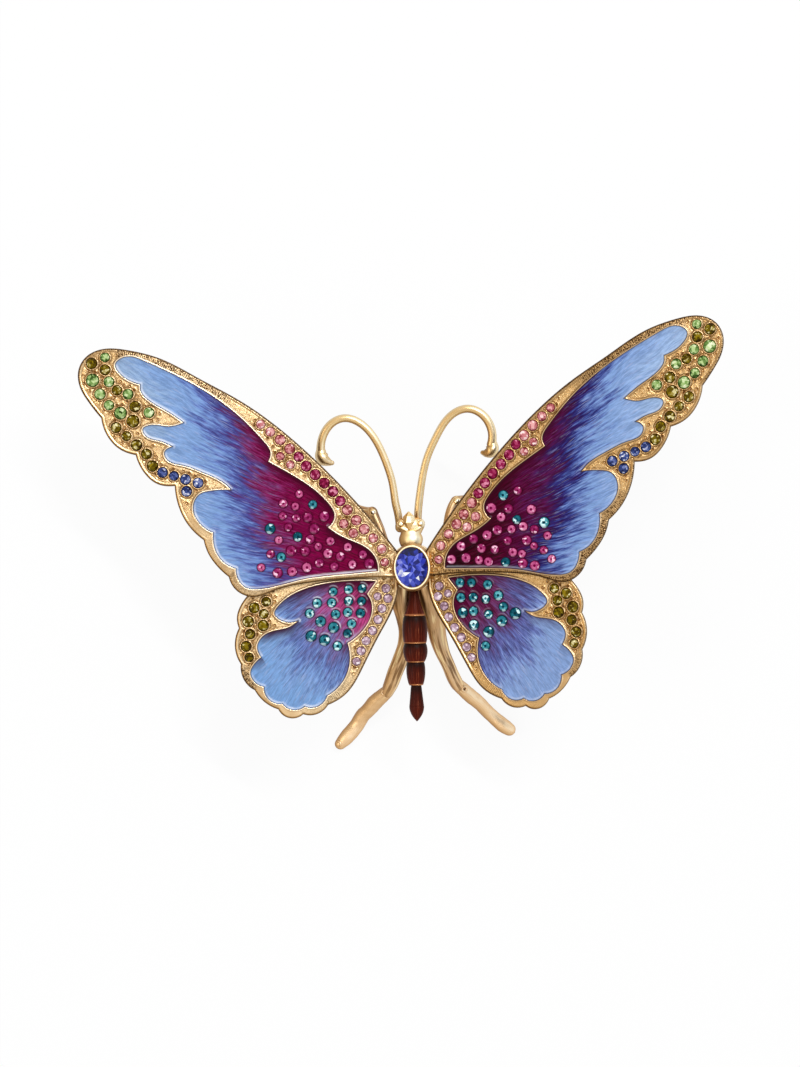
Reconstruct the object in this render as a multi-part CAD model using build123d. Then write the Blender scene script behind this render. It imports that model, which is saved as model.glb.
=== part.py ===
from build123d import *
from math import asin, cos, radians, sin, sqrt
import os

# A free-standing butterfly figurine in gilt cast metal. Four wing castings hold enamel and round
# stones, and are seated on a small thorax that stands on four cast legs. All lengths are in
# millimetres, +X is the butterfly's right, +Y its head and +Z up.

# Driving sizes of the whole piece
wingspan = 157.8
stand_height = 28.0
solder_gap = 0.1
setting_gap = 0.05
overrun = 5.0

# The wing drawings are laid out on a square grid, 644 squares from wing tip to wing tip, with
# the centre stone at (0, 0), the first number outwards and the second one headwards.
square_share = 1 / 644
square = wingspan * square_share
wing_root_squares = 14

# Wing castings: a thin floor, a raised ground for the stones, and a wall round the enamel
wing_arch_radius = 362.0
wing_rise_degrees = 14.0
wing_floor = 0.8
pocket_depth = 0.6
wall_rise = 0.3
wall_width = 0.8
rim_width = 0.65
rim_drop = 0.45
enamel_below_wall = 0.25
redraw_step = 1.5

# How each wing hangs: swung headwards, and drawn in, skewed and stretched as it was soldered
swing_degrees = {"forewing_left": 2.3, "forewing_right": 3.5, "hindwing_left": 2.3, "hindwing_right": 3.4}
reach_shares = {"forewing_left": 0.99, "forewing_right": 0.948, "hindwing_left": 0.99, "hindwing_right": 0.957}
skew_shares = {"forewing_left": 0.0, "forewing_right": 0.066, "hindwing_left": 0.0, "hindwing_right": 0.041}
rise_shares = {"forewing_left": 0.99, "forewing_right": 1.0, "hindwing_left": 1.01, "hindwing_right": 1.0235}

# Round stones: each is a flat-backed cut stone in a drilled seat
seat_depth = 0.7
girdle_rise = 0.15
crown_share = 0.22
table_share = 0.56

# Centre stone and its bezel
center_stone_width = 8.0
center_stone_length = 10.0
center_stone_girdle = 1.2
center_stone_crown = 1.7
center_stone_pavilion = 2.6
bezel_wall = 0.65
bezel_lip = 0.3
bezel_lip_overhang = 0.15
bezel_height = 5.4

# Thorax, collar and head
thorax_width = 11.6
thorax_length = 11.6
thorax_height = 8.6
thorax_edge_radius = 3.2
collar_diameter = 6.1
collar_end_diameter = 5.1
collar_length = 3.5
collar_drop = 2.2
head_width = 6.9
head_height = 5.0
head_length = 2.2
head_edge_radius = 1.0
eye_diameter = 2.0
eye_spacing = 4.9
eye_set_back = 0.95
eye_drop = 0.45
bud_width = 3.4
bud_height = 3.0
bud_length = 4.4
bud_along_shares = [0.0, 0.55, 1.0]
bud_section_shares = [0.45, 1.0, 0.16]
bud_sunk_share = 0.51
brow_share = 0.25

# Abdomen: a cast core with raised rings, five enamelled bands between them and an enamelled tail
abdomen_length = 31.5
abdomen_width = 6.2
abdomen_drop = 3.0
abdomen_lean_degrees = 0.9
abdomen_enamel = 0.5
abdomen_ring = 0.35
abdomen_tail_share = 0.56
abdomen_tip_diameter = 0.4
abdomen_peg_diameter = 2.2
abdomen_peg_length = 2.6
band_end_shares = [0.0, 0.192, 0.402, 0.546, 0.722, 0.888]
band_radius_shares = [
    (0.43, 0.63, 0.82),
    (0.88, 1.00, 0.90),
    (0.90, 0.96, 0.74),
    (0.70, 0.74, 0.55),
    (0.47, 0.49, 0.57),
]

# Antennae: round wire in four arcs, from the head to a curled end with a small spur
antenna_diameter = 1.65
antenna_length = 44.6
antenna_rise_degrees = 9.0
antenna_spacing = 4.7
antenna_spur = 0.8
antenna_club = 2.5
spur_root_share = 0.77
spur_tip = 0.54
antenna_run_shares = [0.448, 0.146, 0.219, 0.187]
antenna_turn_degrees = [25, 15, 96, 64]

# Legs: six-sided bars from the thorax to a knee and down to a flat foot
thigh_width = 5.0
knee_width = 3.5
shin_width = 3.9
foot_width = 3.8
toe_width = 3.0
sole_share = 0.25
hind_hip = (3.6, -3.4)
hind_hip_height = 22.6
hind_knee = (8.7, -29.8)
hind_knee_height = 9.0
hind_heel = (17.2, -37.8)
hind_toe = (23.6, -42.6)
hind_knee_left = (8.6, -31.4)
hind_heel_left = (15.2, -38.3)
hind_toe_left = (21.6, -44.4)
front_hip = (3.8, 3.2)
front_hip_height = 22.4
front_knee = (10.6, 15.6)
front_knee_height = 19.0
front_heel = (24.0, 19.0)
front_toe = (30.0, 20.5)

# Outer edge of the forewing, corner to corner, starting at the root of the leading edge
forewing_edge_shares = [
    [(49, 58), (102, 113), (176, 170), (213, 190), (252, 210), (285, 218.5),
     (312, 219), (327, 211), (334, 198), (332, 180), (323, 165), (311, 150)],
    [(307, 136), (295.5, 121), (276.5, 113)],
    [(270, 98), (257, 85), (237.5, 82)],
    [(235.5, 68), (227, 47), (208.5, 27.5)],
    [(204, 14), (193, -1), (183.5, -9.5)],
    [(177, -22), (162, -29.5), (137, -23), (107, -16), (72, -12), (14, -10.5)],
    [(14, 15)],
]

# Outer edge of the hindwing. Its leading edge runs under the forewing.
hindwing_edge_shares = [
    [(55, 6), (100, 1), (150, -14), (168, -31), (176, -50), (174, -60)],
    [(178, -78), (172, -95.7)],
    [(168.5, -112), (158, -121.5)],
    [(148.5, -133), (134.5, -140.5)],
    [(121.5, -149.5), (109.5, -145.5)],
    [(97.5, -146), (84.7, -136.5)],
    [(66, -125), (50.5, -101), (33, -67), (17.5, -36), (14, -22)],
    [(14, 2)],
]

# Enamel cell of the forewing, corner to corner, starting at the point of the leading spike
forewing_cell_shares = [
    [(130, 98.5), (98, 78), (83, 63), (78, 53), (80, 45.5), (85, 40.5)],
    [(72.5, 32), (58, 25.5), (43, 17), (36, 7), (34.5, -4)],
    [(68, -7), (112, -12.5), (152, -21.5), (168, -19), (174.5, -10), (176, -1)],
    [(188, 5), (195.5, 15), (198.5, 26), (198.5, 35)],
    [(211.5, 43.5), (218, 54.5), (218, 65), (213, 73), (200.5, 77), (180.5, 77.5)],
    [(187.5, 84.5), (208, 95), (230.5, 103), (245.5, 109), (247.5, 114.5), (239, 121.5)],
    [(252, 127), (267, 133), (269, 139), (263.5, 142.5), (243, 141.5), (228, 145.5)],
    [(245, 157), (264, 168.5), (271, 177), (271.5, 184)],
    [(281, 187), (292, 194.5), (296.5, 204), (288, 211), (268, 207.5), (208, 177.5),
     (178, 156), (148.5, 126.5), (142, 116), (144.5, 106.5)],
]

# Enamel cell of the hindwing, starting at the notch below the root
hindwing_cell_shares = [
    [(41, -37), (43, -51), (52, -64.5), (65.5, -75)],
    [(63, -88), (66, -105.5), (78, -122), (85.5, -127)],
    [(92, -136), (101.5, -139), (108, -137.5)],
    [(120, -141), (130, -135)],
    [(142, -132), (148.5, -118)],
    [(158.5, -112.5), (162, -103.5), (158.5, -96), (151, -89)],
    [(155, -77), (150, -68.5), (136.5, -62.5), (124, -59.5), (114, -52.5)],
    [(130, -53), (138, -46), (133, -37), (122.5, -28.5), (106, -21), (88, -16.5), (52, -13.5), (37, -14)],
    [(46, -26.5)],
]

# Stones of the wings: how far out, how far headwards, and how wide, in squares of the drawing
stone_shares = {
    "forewing_green_stones": [
        (307, 211, 9.5), (319.5, 188, 13), (303, 186.5, 10.5), (284, 174, 10.5), (312, 174, 11),
        (303, 163, 10), (291.5, 155, 12.5), (263, 155.5, 10.5)],
    "forewing_olive_stones": [
        (320.5, 205, 11), (307, 198.5, 10.5), (295, 178, 10), (277, 161.5, 11), (279, 147, 12.5),
        (296, 140.5, 10.5), (285.5, 132, 9.5), (275.5, 123, 11), (265.5, 114, 10.5), (259.5, 102, 11)],
    "forewing_blue_stones": [
        (249.5, 95.5, 10.5), (238, 92, 9.5), (226.5, 88.5, 10.5), (214, 85, 10.5), (225.5, 76.5, 10.5)],
    "forewing_edge_pink_stones": [
        (151.5, 144, 9), (142, 136.5, 9.5), (132, 128.5, 10.5), (122.5, 119.5, 10.5),
        (132, 112, 8.5), (122, 103.5, 8.5), (65, 58, 10.5), (68.5, 44, 9.5), (56, 47.5, 10.5),
        (59, 34.5, 9.5), (48, 38.5, 10.5), (39, 29.5, 9.5), (30.5, 18.5, 9.5), (27.5, 5, 8.5)],
    "forewing_ruby_stones": [
        (113.5, 111.5, 10.2), (106, 102, 10.8), (97, 93.5, 10.8), (88, 85, 10.8), (79.5, 76.5, 10.8),
        (72, 67, 10.5)],
    "forewing_rose_stones": [
        (113, 74, 8), (129, 64.5, 8.5), (117, 61.5, 8), (88, 51.5, 10), (129.5, 52, 8), (116, 50, 8),
        (104.5, 50.5, 9.5), (124, 40.5, 8), (98, 39, 10), (133.5, 27.5, 8), (102, 28.5, 9),
        (82, 26.5, 8.5), (94, 21, 8), (121, 17, 10), (107, 16.5, 9.5), (84.5, 14, 9.5),
        (64.5, 20.5, 8.5), (72, 11, 9), (49.5, 13, 8.5), (43, 4, 10), (141.5, 13.5, 8),
        (151, 0, 8), (134.5, -5.5, 9.5), (120, -4, 9.5), (105.5, 0, 9.5), (93, 4.5, 8.5),
        (78, 1, 8.5), (60, 3, 8.5)],
    "forewing_teal_stones": [
        (99.5, 63.5, 8.5), (142, 39, 10), (114.5, 31, 9), (131, 10.5, 9)],
    "hindwing_olive_stones": [
        (146.5, -34, 9.5), (158.5, -40, 10.5), (149, -46, 9.5), (164.5, -53.5, 11),
        (149.5, -57.5, 10.8), (162.5, -66, 10), (166.5, -78, 10.5), (163.5, -89, 9)],
    "hindwing_teal_stones": [
        (79.5, -24, 8.5), (64, -22, 8.5), (50.5, -21, 8.5), (81, -35, 9), (64, -33.5, 9),
        (51, -33.5, 8.5), (95.5, -35.5, 9), (77, -46.5, 9), (65, -44.5, 9), (52, -45.5, 9),
        (103, -45.5, 9), (92, -53.5, 10), (61, -56, 9), (79, -59.5, 10.5), (65, -65.5, 8.5),
        (101.5, -68, 10.5), (88, -72, 10.5), (75, -78, 9)],
    "hindwing_lilac_stones": [
        (26.5, -21, 9), (35, -29, 8), (24.5, -31, 9), (30.5, -41, 9), (34.5, -52, 9),
        (40, -63, 9), (46.5, -73, 9), (51.5, -83, 9), (56, -93.5, 8.5)],
}
# The stones in the enamel were scattered by hand, so the right wings have their own places
own_right_shares = {
    "forewing_rose_stones": [
        (85.5, 51, 10), (103.5, 48.5, 9), (127.5, 45.5, 9.5), (95.5, 41, 9), (118.5, 29.5, 9),
        (130, 25.5, 8.5), (91, 28.5, 9.5), (106, 28, 8.5), (80, 24.5, 9.5), (143.5, 18, 8),
        (121.5, 15.5, 9.5), (65.5, 22, 9), (101.5, 17, 8.5), (52, 16, 9), (73.5, 12, 9), (129, 9, 7.5),
        (87.5, 9.5, 8.5), (139, 4, 8), (106.5, 5, 9), (116, 2.5, 8), (147, -5.5, 8), (41.5, 4, 9),
        (57, 4, 9.5), (70.5, 0.5, 8.5), (80.5, -2, 9), (116.5, -7, 9.5), (129, -10.5, 9.5), (114, 65.5, 8)],
    "forewing_teal_stones": [(98.5, 62.5, 9.5), (112, 37, 8.5), (140.5, 31.5, 10.5), (98.5, -4, 9)],
    "hindwing_teal_stones": [
        (48.5, -19.5, 9), (60.5, -20.5, 8.5), (77.5, -24, 9), (48.5, -34, 9), (61.5, -35, 9),
        (74.5, -38, 8.5), (88, -35.5, 9.5), (92.5, -47, 9), (49.5, -49, 10), (61, -48.5, 9),
        (76.5, -53, 8.5), (104.5, -54.5, 11), (90, -60.5, 10.5), (60.5, -62, 10), (75.5, -70, 10.5),
        (71.5, -83.5, 9)]}
set_in_enamel = ("forewing_rose_stones", "forewing_teal_stones", "hindwing_teal_stones")

# Levels of the wings above the underside of their castings
wing_ground = wing_floor + pocket_depth
wing_wall_top = wing_ground + wall_rise
wing_rim_top = wing_ground - rim_drop
wing_enamel_top = wing_wall_top - enamel_below_wall

# The wings are one cylinder's shell: they leave the bezel at a slope and level out at the tip
bezel_half_width = center_stone_width / 2 + bezel_wall
bezel_half_length = center_stone_length / 2 + bezel_wall
arch_center_x = wing_root_squares * square + wing_arch_radius * sin(radians(wing_rise_degrees))
arch_center_z = stand_height - wing_arch_radius * cos(radians(wing_rise_degrees))
hindwing_base = wing_arch_radius
forewing_base = wing_arch_radius + wing_wall_top + solder_gap

thorax_front = thorax_length / 2
bezel_top = stand_height + bezel_height
collar_axis = stand_height - collar_drop
abdomen_axis = stand_height - abdomen_drop
abdomen_front = -thorax_front - solder_gap
head_back = thorax_front + collar_length + solder_gap
head_front = head_back + head_length


def arch_height(radius, x):
    """Height of the wing shell of one radius, at one distance from the middle."""
    return arch_center_z + sqrt(radius ** 2 - (x - arch_center_x) ** 2)


def hung(out, up, wing_side):
    """Place of a point of the wing drawing, in millimetres, as that wing hangs."""
    turn = radians(swing_degrees[wing_side])
    reach = wing_root_squares + (out - wing_root_squares) * reach_shares[wing_side]
    reach += up * skew_shares[wing_side]
    rise = up * rise_shares[wing_side]
    x = reach * cos(turn) - rise * sin(turn)
    y = reach * sin(turn) + rise * cos(turn)
    return x * square, y * square


def drawn_face(runs, wing_side):
    """Flat face of an outline: each run is a straight line, an arc or a smooth curve."""
    edges = []
    last = runs[-1][-1]
    for run in runs:
        points = [hung(out, up, wing_side) for out, up in [last] + run]
        if len(points) == 2:
            edges.append(Line(*points))
        elif len(points) == 3:
            edges.append(ThreePointArc(*points))
        else:
            edges.append(Spline(*points))
        last = run[-1]
    return make_face(edges)


def redrawn(edge):
    """The same stretch of an outline as a plain line, arc or smooth curve."""
    if edge.geom_type == GeomType.LINE:
        return Line(edge @ 0, edge @ 1)
    if edge.geom_type == GeomType.CIRCLE:
        return ThreePointArc(edge @ 0, edge @ 0.5, edge @ 1)
    steps = 3 + int(edge.length / redraw_step)
    return Spline(*[edge @ (step / steps) for step in range(steps + 1)])


def moved_edge(face, amount):
    """Flat face whose outline is moved outwards, or inwards for a negative amount."""
    return make_face([redrawn(edge) for edge in offset(face, amount).edges()])


def arched_sheet(low, high):
    """Part of the wing shell between two radii, as wide as a wing and a little more."""
    reach = wingspan / 2 + overrun
    middle = reach / 2
    start = Vector(0, -reach, arch_height(low, 0))
    lower = ThreePointArc(start, (middle, -reach, arch_height(low, middle)),
                          (reach, -reach, arch_height(low, reach)))
    upper = ThreePointArc((reach, -reach, arch_height(high, reach)),
                          (middle, -reach, arch_height(high, middle)),
                          (0, -reach, arch_height(high, 0)))
    section = make_face([lower, Line(lower @ 1, upper @ 0), upper, Line(upper @ 1, lower @ 0)])
    return extrude(section, amount=2 * reach, dir=(0, 1, 0))


def standing(face):
    """Upright prism on a flat face, taller than the whole butterfly."""
    return extrude(face, amount=stand_height + wingspan / 2, dir=(0, 0, 1))


def seat_plane(x, y, radius):
    """Plane that touches the wing shell at one place, with its normal outwards."""
    slope = asin((arch_center_x - x) / radius)
    return Plane(origin=(x, y, arch_height(radius, x)), x_dir=(cos(slope), 0, sin(slope)),
                 z_dir=(-sin(slope), 0, cos(slope)))


def cut_stone(across, height):
    """Flat-backed round stone standing on its back: a straight girdle and a cut crown."""
    radius = across / 2
    girdle = height - across * crown_share
    profile = make_face(Polyline((0, 0), (radius, 0), (radius, girdle), (radius * table_share, height),
                                 (0, height), (0, 0)).edges())
    return revolve(Plane.XZ * profile, axis=Axis.Z)


def wing_stones(name, base, wing_side):
    """The stones of one colour on one wing, and the drills that cut their seats."""
    stones, drills = [], []
    in_enamel = name in set_in_enamel
    back = base + wing_floor if in_enamel else base + wing_ground - seat_depth
    face = base + wing_enamel_top if in_enamel else base + wing_ground
    spots = own_right_shares.get(name) if wing_side.endswith("right") else None
    for out, up, wide in spots or stone_shares[name]:
        x, y = hung(out, up, wing_side)
        across = wide * square
        plane = seat_plane(x, y, back)
        height = face - back + girdle_rise + across * crown_share
        stones.append(plane * cut_stone(across, height))
        drills.append(plane * Cylinder(across / 2 + setting_gap, overrun,
                                       align=(Align.CENTER, Align.CENTER, Align.MIN)))
    return stones, drills, in_enamel


def wing(wing_name, side, base, edge, cell):
    """Casting, enamel and stones of one wing, by node name, on its own side."""
    wing_side = f"{wing_name}_{side}"
    outline = drawn_face(edge, wing_side)
    hollow = drawn_face(cell, wing_side)
    raised = moved_edge(outline, -rim_width)
    walled = moved_edge(hollow, wall_width)
    bezel_hole = standing(make_face(Ellipse(bezel_half_width + setting_gap,
                                            bezel_half_length + setting_gap).edges()))
    casting = standing(outline) & arched_sheet(base, base + wing_rim_top)
    casting += standing(raised) & arched_sheet(base, base + wing_ground)
    casting += standing(walled) & arched_sheet(base, base + wing_wall_top)
    casting -= standing(hollow) & arched_sheet(base + wing_floor, base + wing_wall_top + overrun)
    enamel = standing(moved_edge(hollow, -setting_gap))
    enamel &= arched_sheet(base + wing_floor, base + wing_enamel_top)
    pieces = {}
    for name in stone_shares:
        if name.startswith(wing_name):
            stones, drills, in_enamel = wing_stones(name, base, wing_side)
            pieces[name] = stones
            if in_enamel:
                enamel = enamel.cut(*drills)
            else:
                casting = casting.cut(*drills)
    casting -= bezel_hole
    pieces[wing_name] = [casting]
    pieces[f"{wing_name}_enamel"] = [enamel]
    for name, solids in pieces.items():
        on_side = solids if side == "right" else [mirror(solid, about=Plane.YZ) for solid in solids]
        nodes[f"{name}_{side}"] = on_side


def oval(trim, height=0):
    """Face of the centre stone's oval, made smaller or larger all round."""
    ring = Ellipse(center_stone_width / 2 - trim, center_stone_length / 2 - trim)
    return Pos(0, 0, height) * ring


def center_setting():
    """Centre stone with crown and pavilion, and the bezel that holds it."""
    girdle_low = bezel_top - bezel_lip - center_stone_girdle
    girdle_high = girdle_low + center_stone_girdle - setting_gap
    crown_trim = center_stone_width * (1 - table_share) / 2
    stone = extrude(oval(setting_gap, girdle_low), amount=girdle_high - girdle_low)
    lip_trim = bezel_lip_overhang + setting_gap
    crown_top = girdle_high + center_stone_crown
    stone += loft([oval(lip_trim, girdle_high), oval(crown_trim, crown_top)], ruled=True)
    keel = center_stone_width * table_share / 2
    seat_trim = bezel_wall + setting_gap
    stone += loft([oval(keel, girdle_low - center_stone_pavilion), oval(seat_trim, girdle_low)], ruled=True)
    bezel = extrude(oval(-bezel_wall, stand_height), amount=bezel_height)
    bezel -= extrude(oval(0, girdle_low), amount=bezel_top - bezel_lip - girdle_low)
    bezel -= extrude(oval(bezel_lip_overhang, girdle_low), amount=bezel_height)
    bezel -= extrude(oval(bezel_wall, stand_height), amount=bezel_height)
    nodes["center_stone"] = [stone]
    nodes["bezel"] = [bezel]


def turned(profile_points):
    """Solid of revolution about the body's long axis, from points (along, radius)."""
    edges = [Line(a, b) for a, b in zip(profile_points, profile_points[1:] + profile_points[:1])]
    return revolve(make_face(edges), axis=Axis.X)


def along_body(solid, start, height, heading):
    """Turn a solid made along +X to a heading, in degrees, from a place on the body."""
    return Pos(0, start, height) * Rot(0, 0, heading) * solid


def barrel(start, end, radii, inner):
    """Ring with a bulging outside, from three radii, round a straight hole."""
    middle = (start + end) / 2
    outside = ThreePointArc((start, radii[0]), (middle, radii[1]), (end, radii[2]))
    edges = [outside, Line((end, radii[2]), (end, inner)), Line((end, inner), (start, inner)),
             Line((start, inner), (start, radii[0]))]
    return revolve(make_face(edges), axis=Axis.X)


def abdomen():
    """Cast core with its peg and rings, five enamelled bands and the enamelled tail."""
    half, heading = abdomen_width / 2, -90 - abdomen_lean_degrees
    ends = [share * abdomen_length for share in band_end_shares]
    profile = [(-abdomen_peg_length, 0), (-abdomen_peg_length, abdomen_peg_diameter / 2),
               (0, abdomen_peg_diameter / 2)]
    for index, (first, most, last) in enumerate(band_radius_shares):
        start, end = ends[index], ends[index + 1] - abdomen_ring
        inner = min(first, last) * half - abdomen_enamel
        profile += [(start, inner), (end, inner), (end, last * half), (ends[index + 1], last * half)]
        band = barrel(start + setting_gap, end - setting_gap, (first * half, most * half, last * half),
                      inner + setting_gap)
        nodes[f"abdomen_enamel_{index + 1}"] = [along_body(band, abdomen_front, abdomen_axis, heading)]
    profile += [(ends[-1], 0)]
    core = along_body(turned(profile), abdomen_front, abdomen_axis, heading)
    nodes["abdomen"] = [core]
    start, widest = ends[-1] + setting_gap, last * half
    shoulder = (start + abdomen_length) / 2
    tip = abdomen_tip_diameter / 2
    side = ThreePointArc((start, widest), (shoulder, widest * abdomen_tail_share), (abdomen_length, tip))
    back = [Line((abdomen_length, tip), (abdomen_length, 0)), Line((abdomen_length, 0), (start, 0)),
            Line((start, 0), (start, widest))]
    tail = along_body(revolve(make_face([side] + back), axis=Axis.X), abdomen_front, abdomen_axis, heading)
    nodes[f"abdomen_enamel_{len(band_radius_shares) + 1}"] = [tail]


def thorax():
    """Rounded block under the bezel, with a socket for the abdomen's peg."""
    plan = Pos(0, 0, stand_height - thorax_height) * Ellipse(thorax_width / 2, thorax_length / 2)
    block = extrude(plan, amount=thorax_height)
    block = fillet(block.edges().group_by(Axis.Z)[0], thorax_edge_radius)
    depth = abdomen_peg_length + setting_gap
    socket = Cylinder(abdomen_peg_diameter / 2 + setting_gap, depth + overrun,
                      align=(Align.CENTER, Align.CENTER, Align.MIN))
    seat = Pos(0, abdomen_front, abdomen_axis) * Rot(0, 0, -abdomen_lean_degrees) * Pos(0, depth, 0)
    return block - seat * Rot(90, 0, 0) * socket


def head():
    """Collar, head block with a faceted bud, and two round eyes in shallow cups."""
    radius, end = collar_diameter / 2, collar_end_diameter / 2
    collar = revolve(make_face([ThreePointArc((0, end), (collar_length / 2, radius), (collar_length, end)),
                                Line((collar_length, end), (collar_length, 0)),
                                Line((collar_length, 0), (0, 0)), Line((0, 0), (0, end))]), axis=Axis.X)
    collar = along_body(collar, thorax_front, collar_axis, 90) - nodes["thorax"][0]
    block = Pos(0, head_back, collar_axis) * Box(head_width, head_length, head_height,
                                                 align=(Align.CENTER, Align.MIN, Align.CENTER))
    block = fillet(block.edges(), head_edge_radius)
    brow_height, head_top = collar_axis + head_height * brow_share, collar_axis + head_height / 2
    sections = []
    for along, section in zip(bud_along_shares, bud_section_shares):
        y = head_front + (along - bud_sunk_share) * bud_length
        wide, tall = bud_width * section / 2, bud_height * section / 2
        corners = [(wide, 0), (0, tall), (-wide, 0), (0, -tall)]
        spot = Plane(origin=(0, y, brow_height), x_dir=(-1, 0, 0), z_dir=(0, 1, 0))
        sections.append(spot * make_face(Polyline(*corners, close=True).edges()))
    block += loft(sections, ruled=True)
    eyes = []
    for side in (-1, 1):
        spot = Pos(side * eye_spacing / 2, head_front - eye_set_back, head_top - eye_drop)
        eyes.append(spot * Sphere(eye_diameter / 2))
        block -= spot * Sphere(eye_diameter / 2 + setting_gap)
    nodes["collar"] = [collar]
    nodes["head"] = [block]
    nodes["eyes"] = eyes


def antenna(side):
    """Bent wire from the front of the head, ending in a club with a spur."""
    heading = 90
    spot = Vector(0, 0)
    runs = []
    for share, turn in zip(antenna_run_shares, antenna_turn_degrees):
        radius = share * antenna_length / radians(turn)
        tangent = (cos(radians(heading)), sin(radians(heading)))
        run = JernArc(start=spot, tangent=tangent, radius=radius, arc_size=-turn)
        runs.append(run)
        spot = run @ 1
        heading -= turn
    path = Wire([run.edge() for run in runs])
    root = Plane(origin=path @ 0, z_dir=path % 0)
    wire = sweep(root * Circle(antenna_diameter / 2), path=path)
    wire += Pos(*(path @ 1)) * Sphere(antenna_club / 2)
    spur_reach = antenna_club / 2 + antenna_spur
    spur_spot = Plane(origin=path @ 1, z_dir=(cos(radians(heading - 90)), sin(radians(heading - 90)), 0))
    wire += spur_spot * Cone(antenna_club * spur_root_share / 2, spur_tip / 2, spur_reach,
                             align=(Align.CENTER, Align.CENTER, Align.MIN))
    lifted = Rot(antenna_rise_degrees, 0, 0) * wire
    root_height = collar_axis - head_height * brow_share
    placed = Pos(antenna_spacing / 2, head_front - antenna_diameter / 2, root_height) * lifted
    fitted = placed - nodes["head"][0]
    return fitted if side > 0 else mirror(fitted, about=Plane.YZ)


def bar(start, end, width_start, width_end):
    """Tapered six-sided bar between two points."""
    direction = Vector(*end) - Vector(*start)
    faces = [Plane(origin=spot, x_dir=direction.cross(Vector(0, 0, 1)), z_dir=direction)
             * RegularPolygon(wide / 2, 6) for spot, wide in ((start, width_start), (end, width_end))]
    return loft(faces, ruled=True)


def leg(hip, hip_height, knee, knee_height, heel, toe):
    """One cast leg: thigh, knee, shin and a foot with a flat sole."""
    lift = foot_width / 2 * (1 - sole_share)
    hip_spot, knee_spot = (*hip, hip_height), (*knee, knee_height)
    heel_spot, toe_spot = (*heel, lift), (*toe, lift * toe_width / foot_width)
    solid = bar(hip_spot, knee_spot, thigh_width, knee_width)
    solid += Pos(*knee_spot) * Sphere(knee_width / 2)
    solid += bar(knee_spot, heel_spot, knee_width, shin_width)
    solid += Pos(*heel_spot) * Sphere(shin_width / 2)
    solid += bar(heel_spot, toe_spot, foot_width, toe_width)
    solid += Pos(*toe_spot) * Sphere(toe_width / 2)
    floor = Pos(0, 0, -overrun) * Box(wingspan, wingspan, overrun,
                                      align=(Align.CENTER, Align.CENTER, Align.MIN))
    return solid - floor - nodes["thorax"][0]


nodes = {}
nodes["thorax"] = [thorax()]
center_setting()
abdomen()
head()
hind_places = {"left": (hind_knee_left, hind_knee_height, hind_heel_left, hind_toe_left),
               "right": (hind_knee, hind_knee_height, hind_heel, hind_toe)}
for side_name, side_sign in (("left", -1), ("right", 1)):
    wing("forewing", side_name, forewing_base, forewing_edge_shares, forewing_cell_shares)
    wing("hindwing", side_name, hindwing_base, hindwing_edge_shares, hindwing_cell_shares)
    nodes[f"antenna_{side_name}"] = [antenna(side_sign)]
    front_leg = leg(front_hip, front_hip_height, front_knee, front_knee_height, front_heel, front_toe)
    hind_leg = leg(hind_hip, hind_hip_height, *hind_places[side_name])
    for leg_name, limb in (("front_leg", front_leg), ("hind_leg", hind_leg)):
        nodes[f"{leg_name}_{side_name}"] = [limb if side_sign > 0 else mirror(limb, about=Plane.YZ)]

# The origin is on the table, under the middle of the whole figurine
pieces = [piece for solids in nodes.values() for piece in solids]
box = Compound(children=[solid for piece in pieces for solid in piece.solids()]).bounding_box()
to_origin = Pos(-(box.min.X + box.max.X) / 2, -(box.min.Y + box.max.Y) / 2, 0)

os.makedirs("parts", exist_ok=True)
for name, solids in nodes.items():
    placed = [to_origin * solid for piece in solids for solid in piece.solids()]
    shape = placed[0] if len(placed) == 1 else Compound(children=placed)
    export_step(shape, f"parts/{name}.step")
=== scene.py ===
import math

import bpy
import numpy as np
from mathutils import Matrix, Vector, geometry, kdtree


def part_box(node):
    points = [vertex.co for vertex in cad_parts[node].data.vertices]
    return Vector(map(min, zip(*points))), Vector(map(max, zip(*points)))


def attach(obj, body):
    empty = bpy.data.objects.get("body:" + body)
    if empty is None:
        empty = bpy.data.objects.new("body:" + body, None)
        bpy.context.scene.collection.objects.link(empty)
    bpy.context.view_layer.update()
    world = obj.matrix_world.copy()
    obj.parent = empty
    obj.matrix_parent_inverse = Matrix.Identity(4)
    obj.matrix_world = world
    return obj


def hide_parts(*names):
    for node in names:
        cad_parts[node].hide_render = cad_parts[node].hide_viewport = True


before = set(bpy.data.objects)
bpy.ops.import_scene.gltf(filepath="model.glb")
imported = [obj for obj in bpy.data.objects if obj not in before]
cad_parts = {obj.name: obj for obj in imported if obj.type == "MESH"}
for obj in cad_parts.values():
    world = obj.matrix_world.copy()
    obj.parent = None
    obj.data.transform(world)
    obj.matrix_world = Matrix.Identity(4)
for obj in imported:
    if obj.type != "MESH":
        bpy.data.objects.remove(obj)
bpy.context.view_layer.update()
rng = np.random.default_rng(7)

# setting out: the wing drawings are in squares, the same ones that the CAD part uses
layout = {"wingspan": 0.1578, "squaresAcross": 644, "rootSquares": 14, "standHeight": 0.028,
          "archRadius": 0.362, "riseDegrees": 14}
square = layout["wingspan"] / layout["squaresAcross"]
stoneLow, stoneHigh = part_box("center_stone")
bodyX, bodyY = (stoneLow.x + stoneHigh.x) / 2, (stoneLow.y + stoneHigh.y) / 2
archX = layout["rootSquares"] * square + layout["archRadius"] * math.sin(math.radians(layout["riseDegrees"]))
archZ = layout["standHeight"] - layout["archRadius"] * math.cos(math.radians(layout["riseDegrees"]))

# camera, lights and table
view = {"distance": 0.9, "frameHeight": 0.2614, "sensor": 36, "nearest": 0.01, "farthest": 20,
        "roll": 2.3, "lean": 2.0, "aimRight": -0.0029, "aimUp": 0.0083, "aimHeight": 0.0335}


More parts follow.
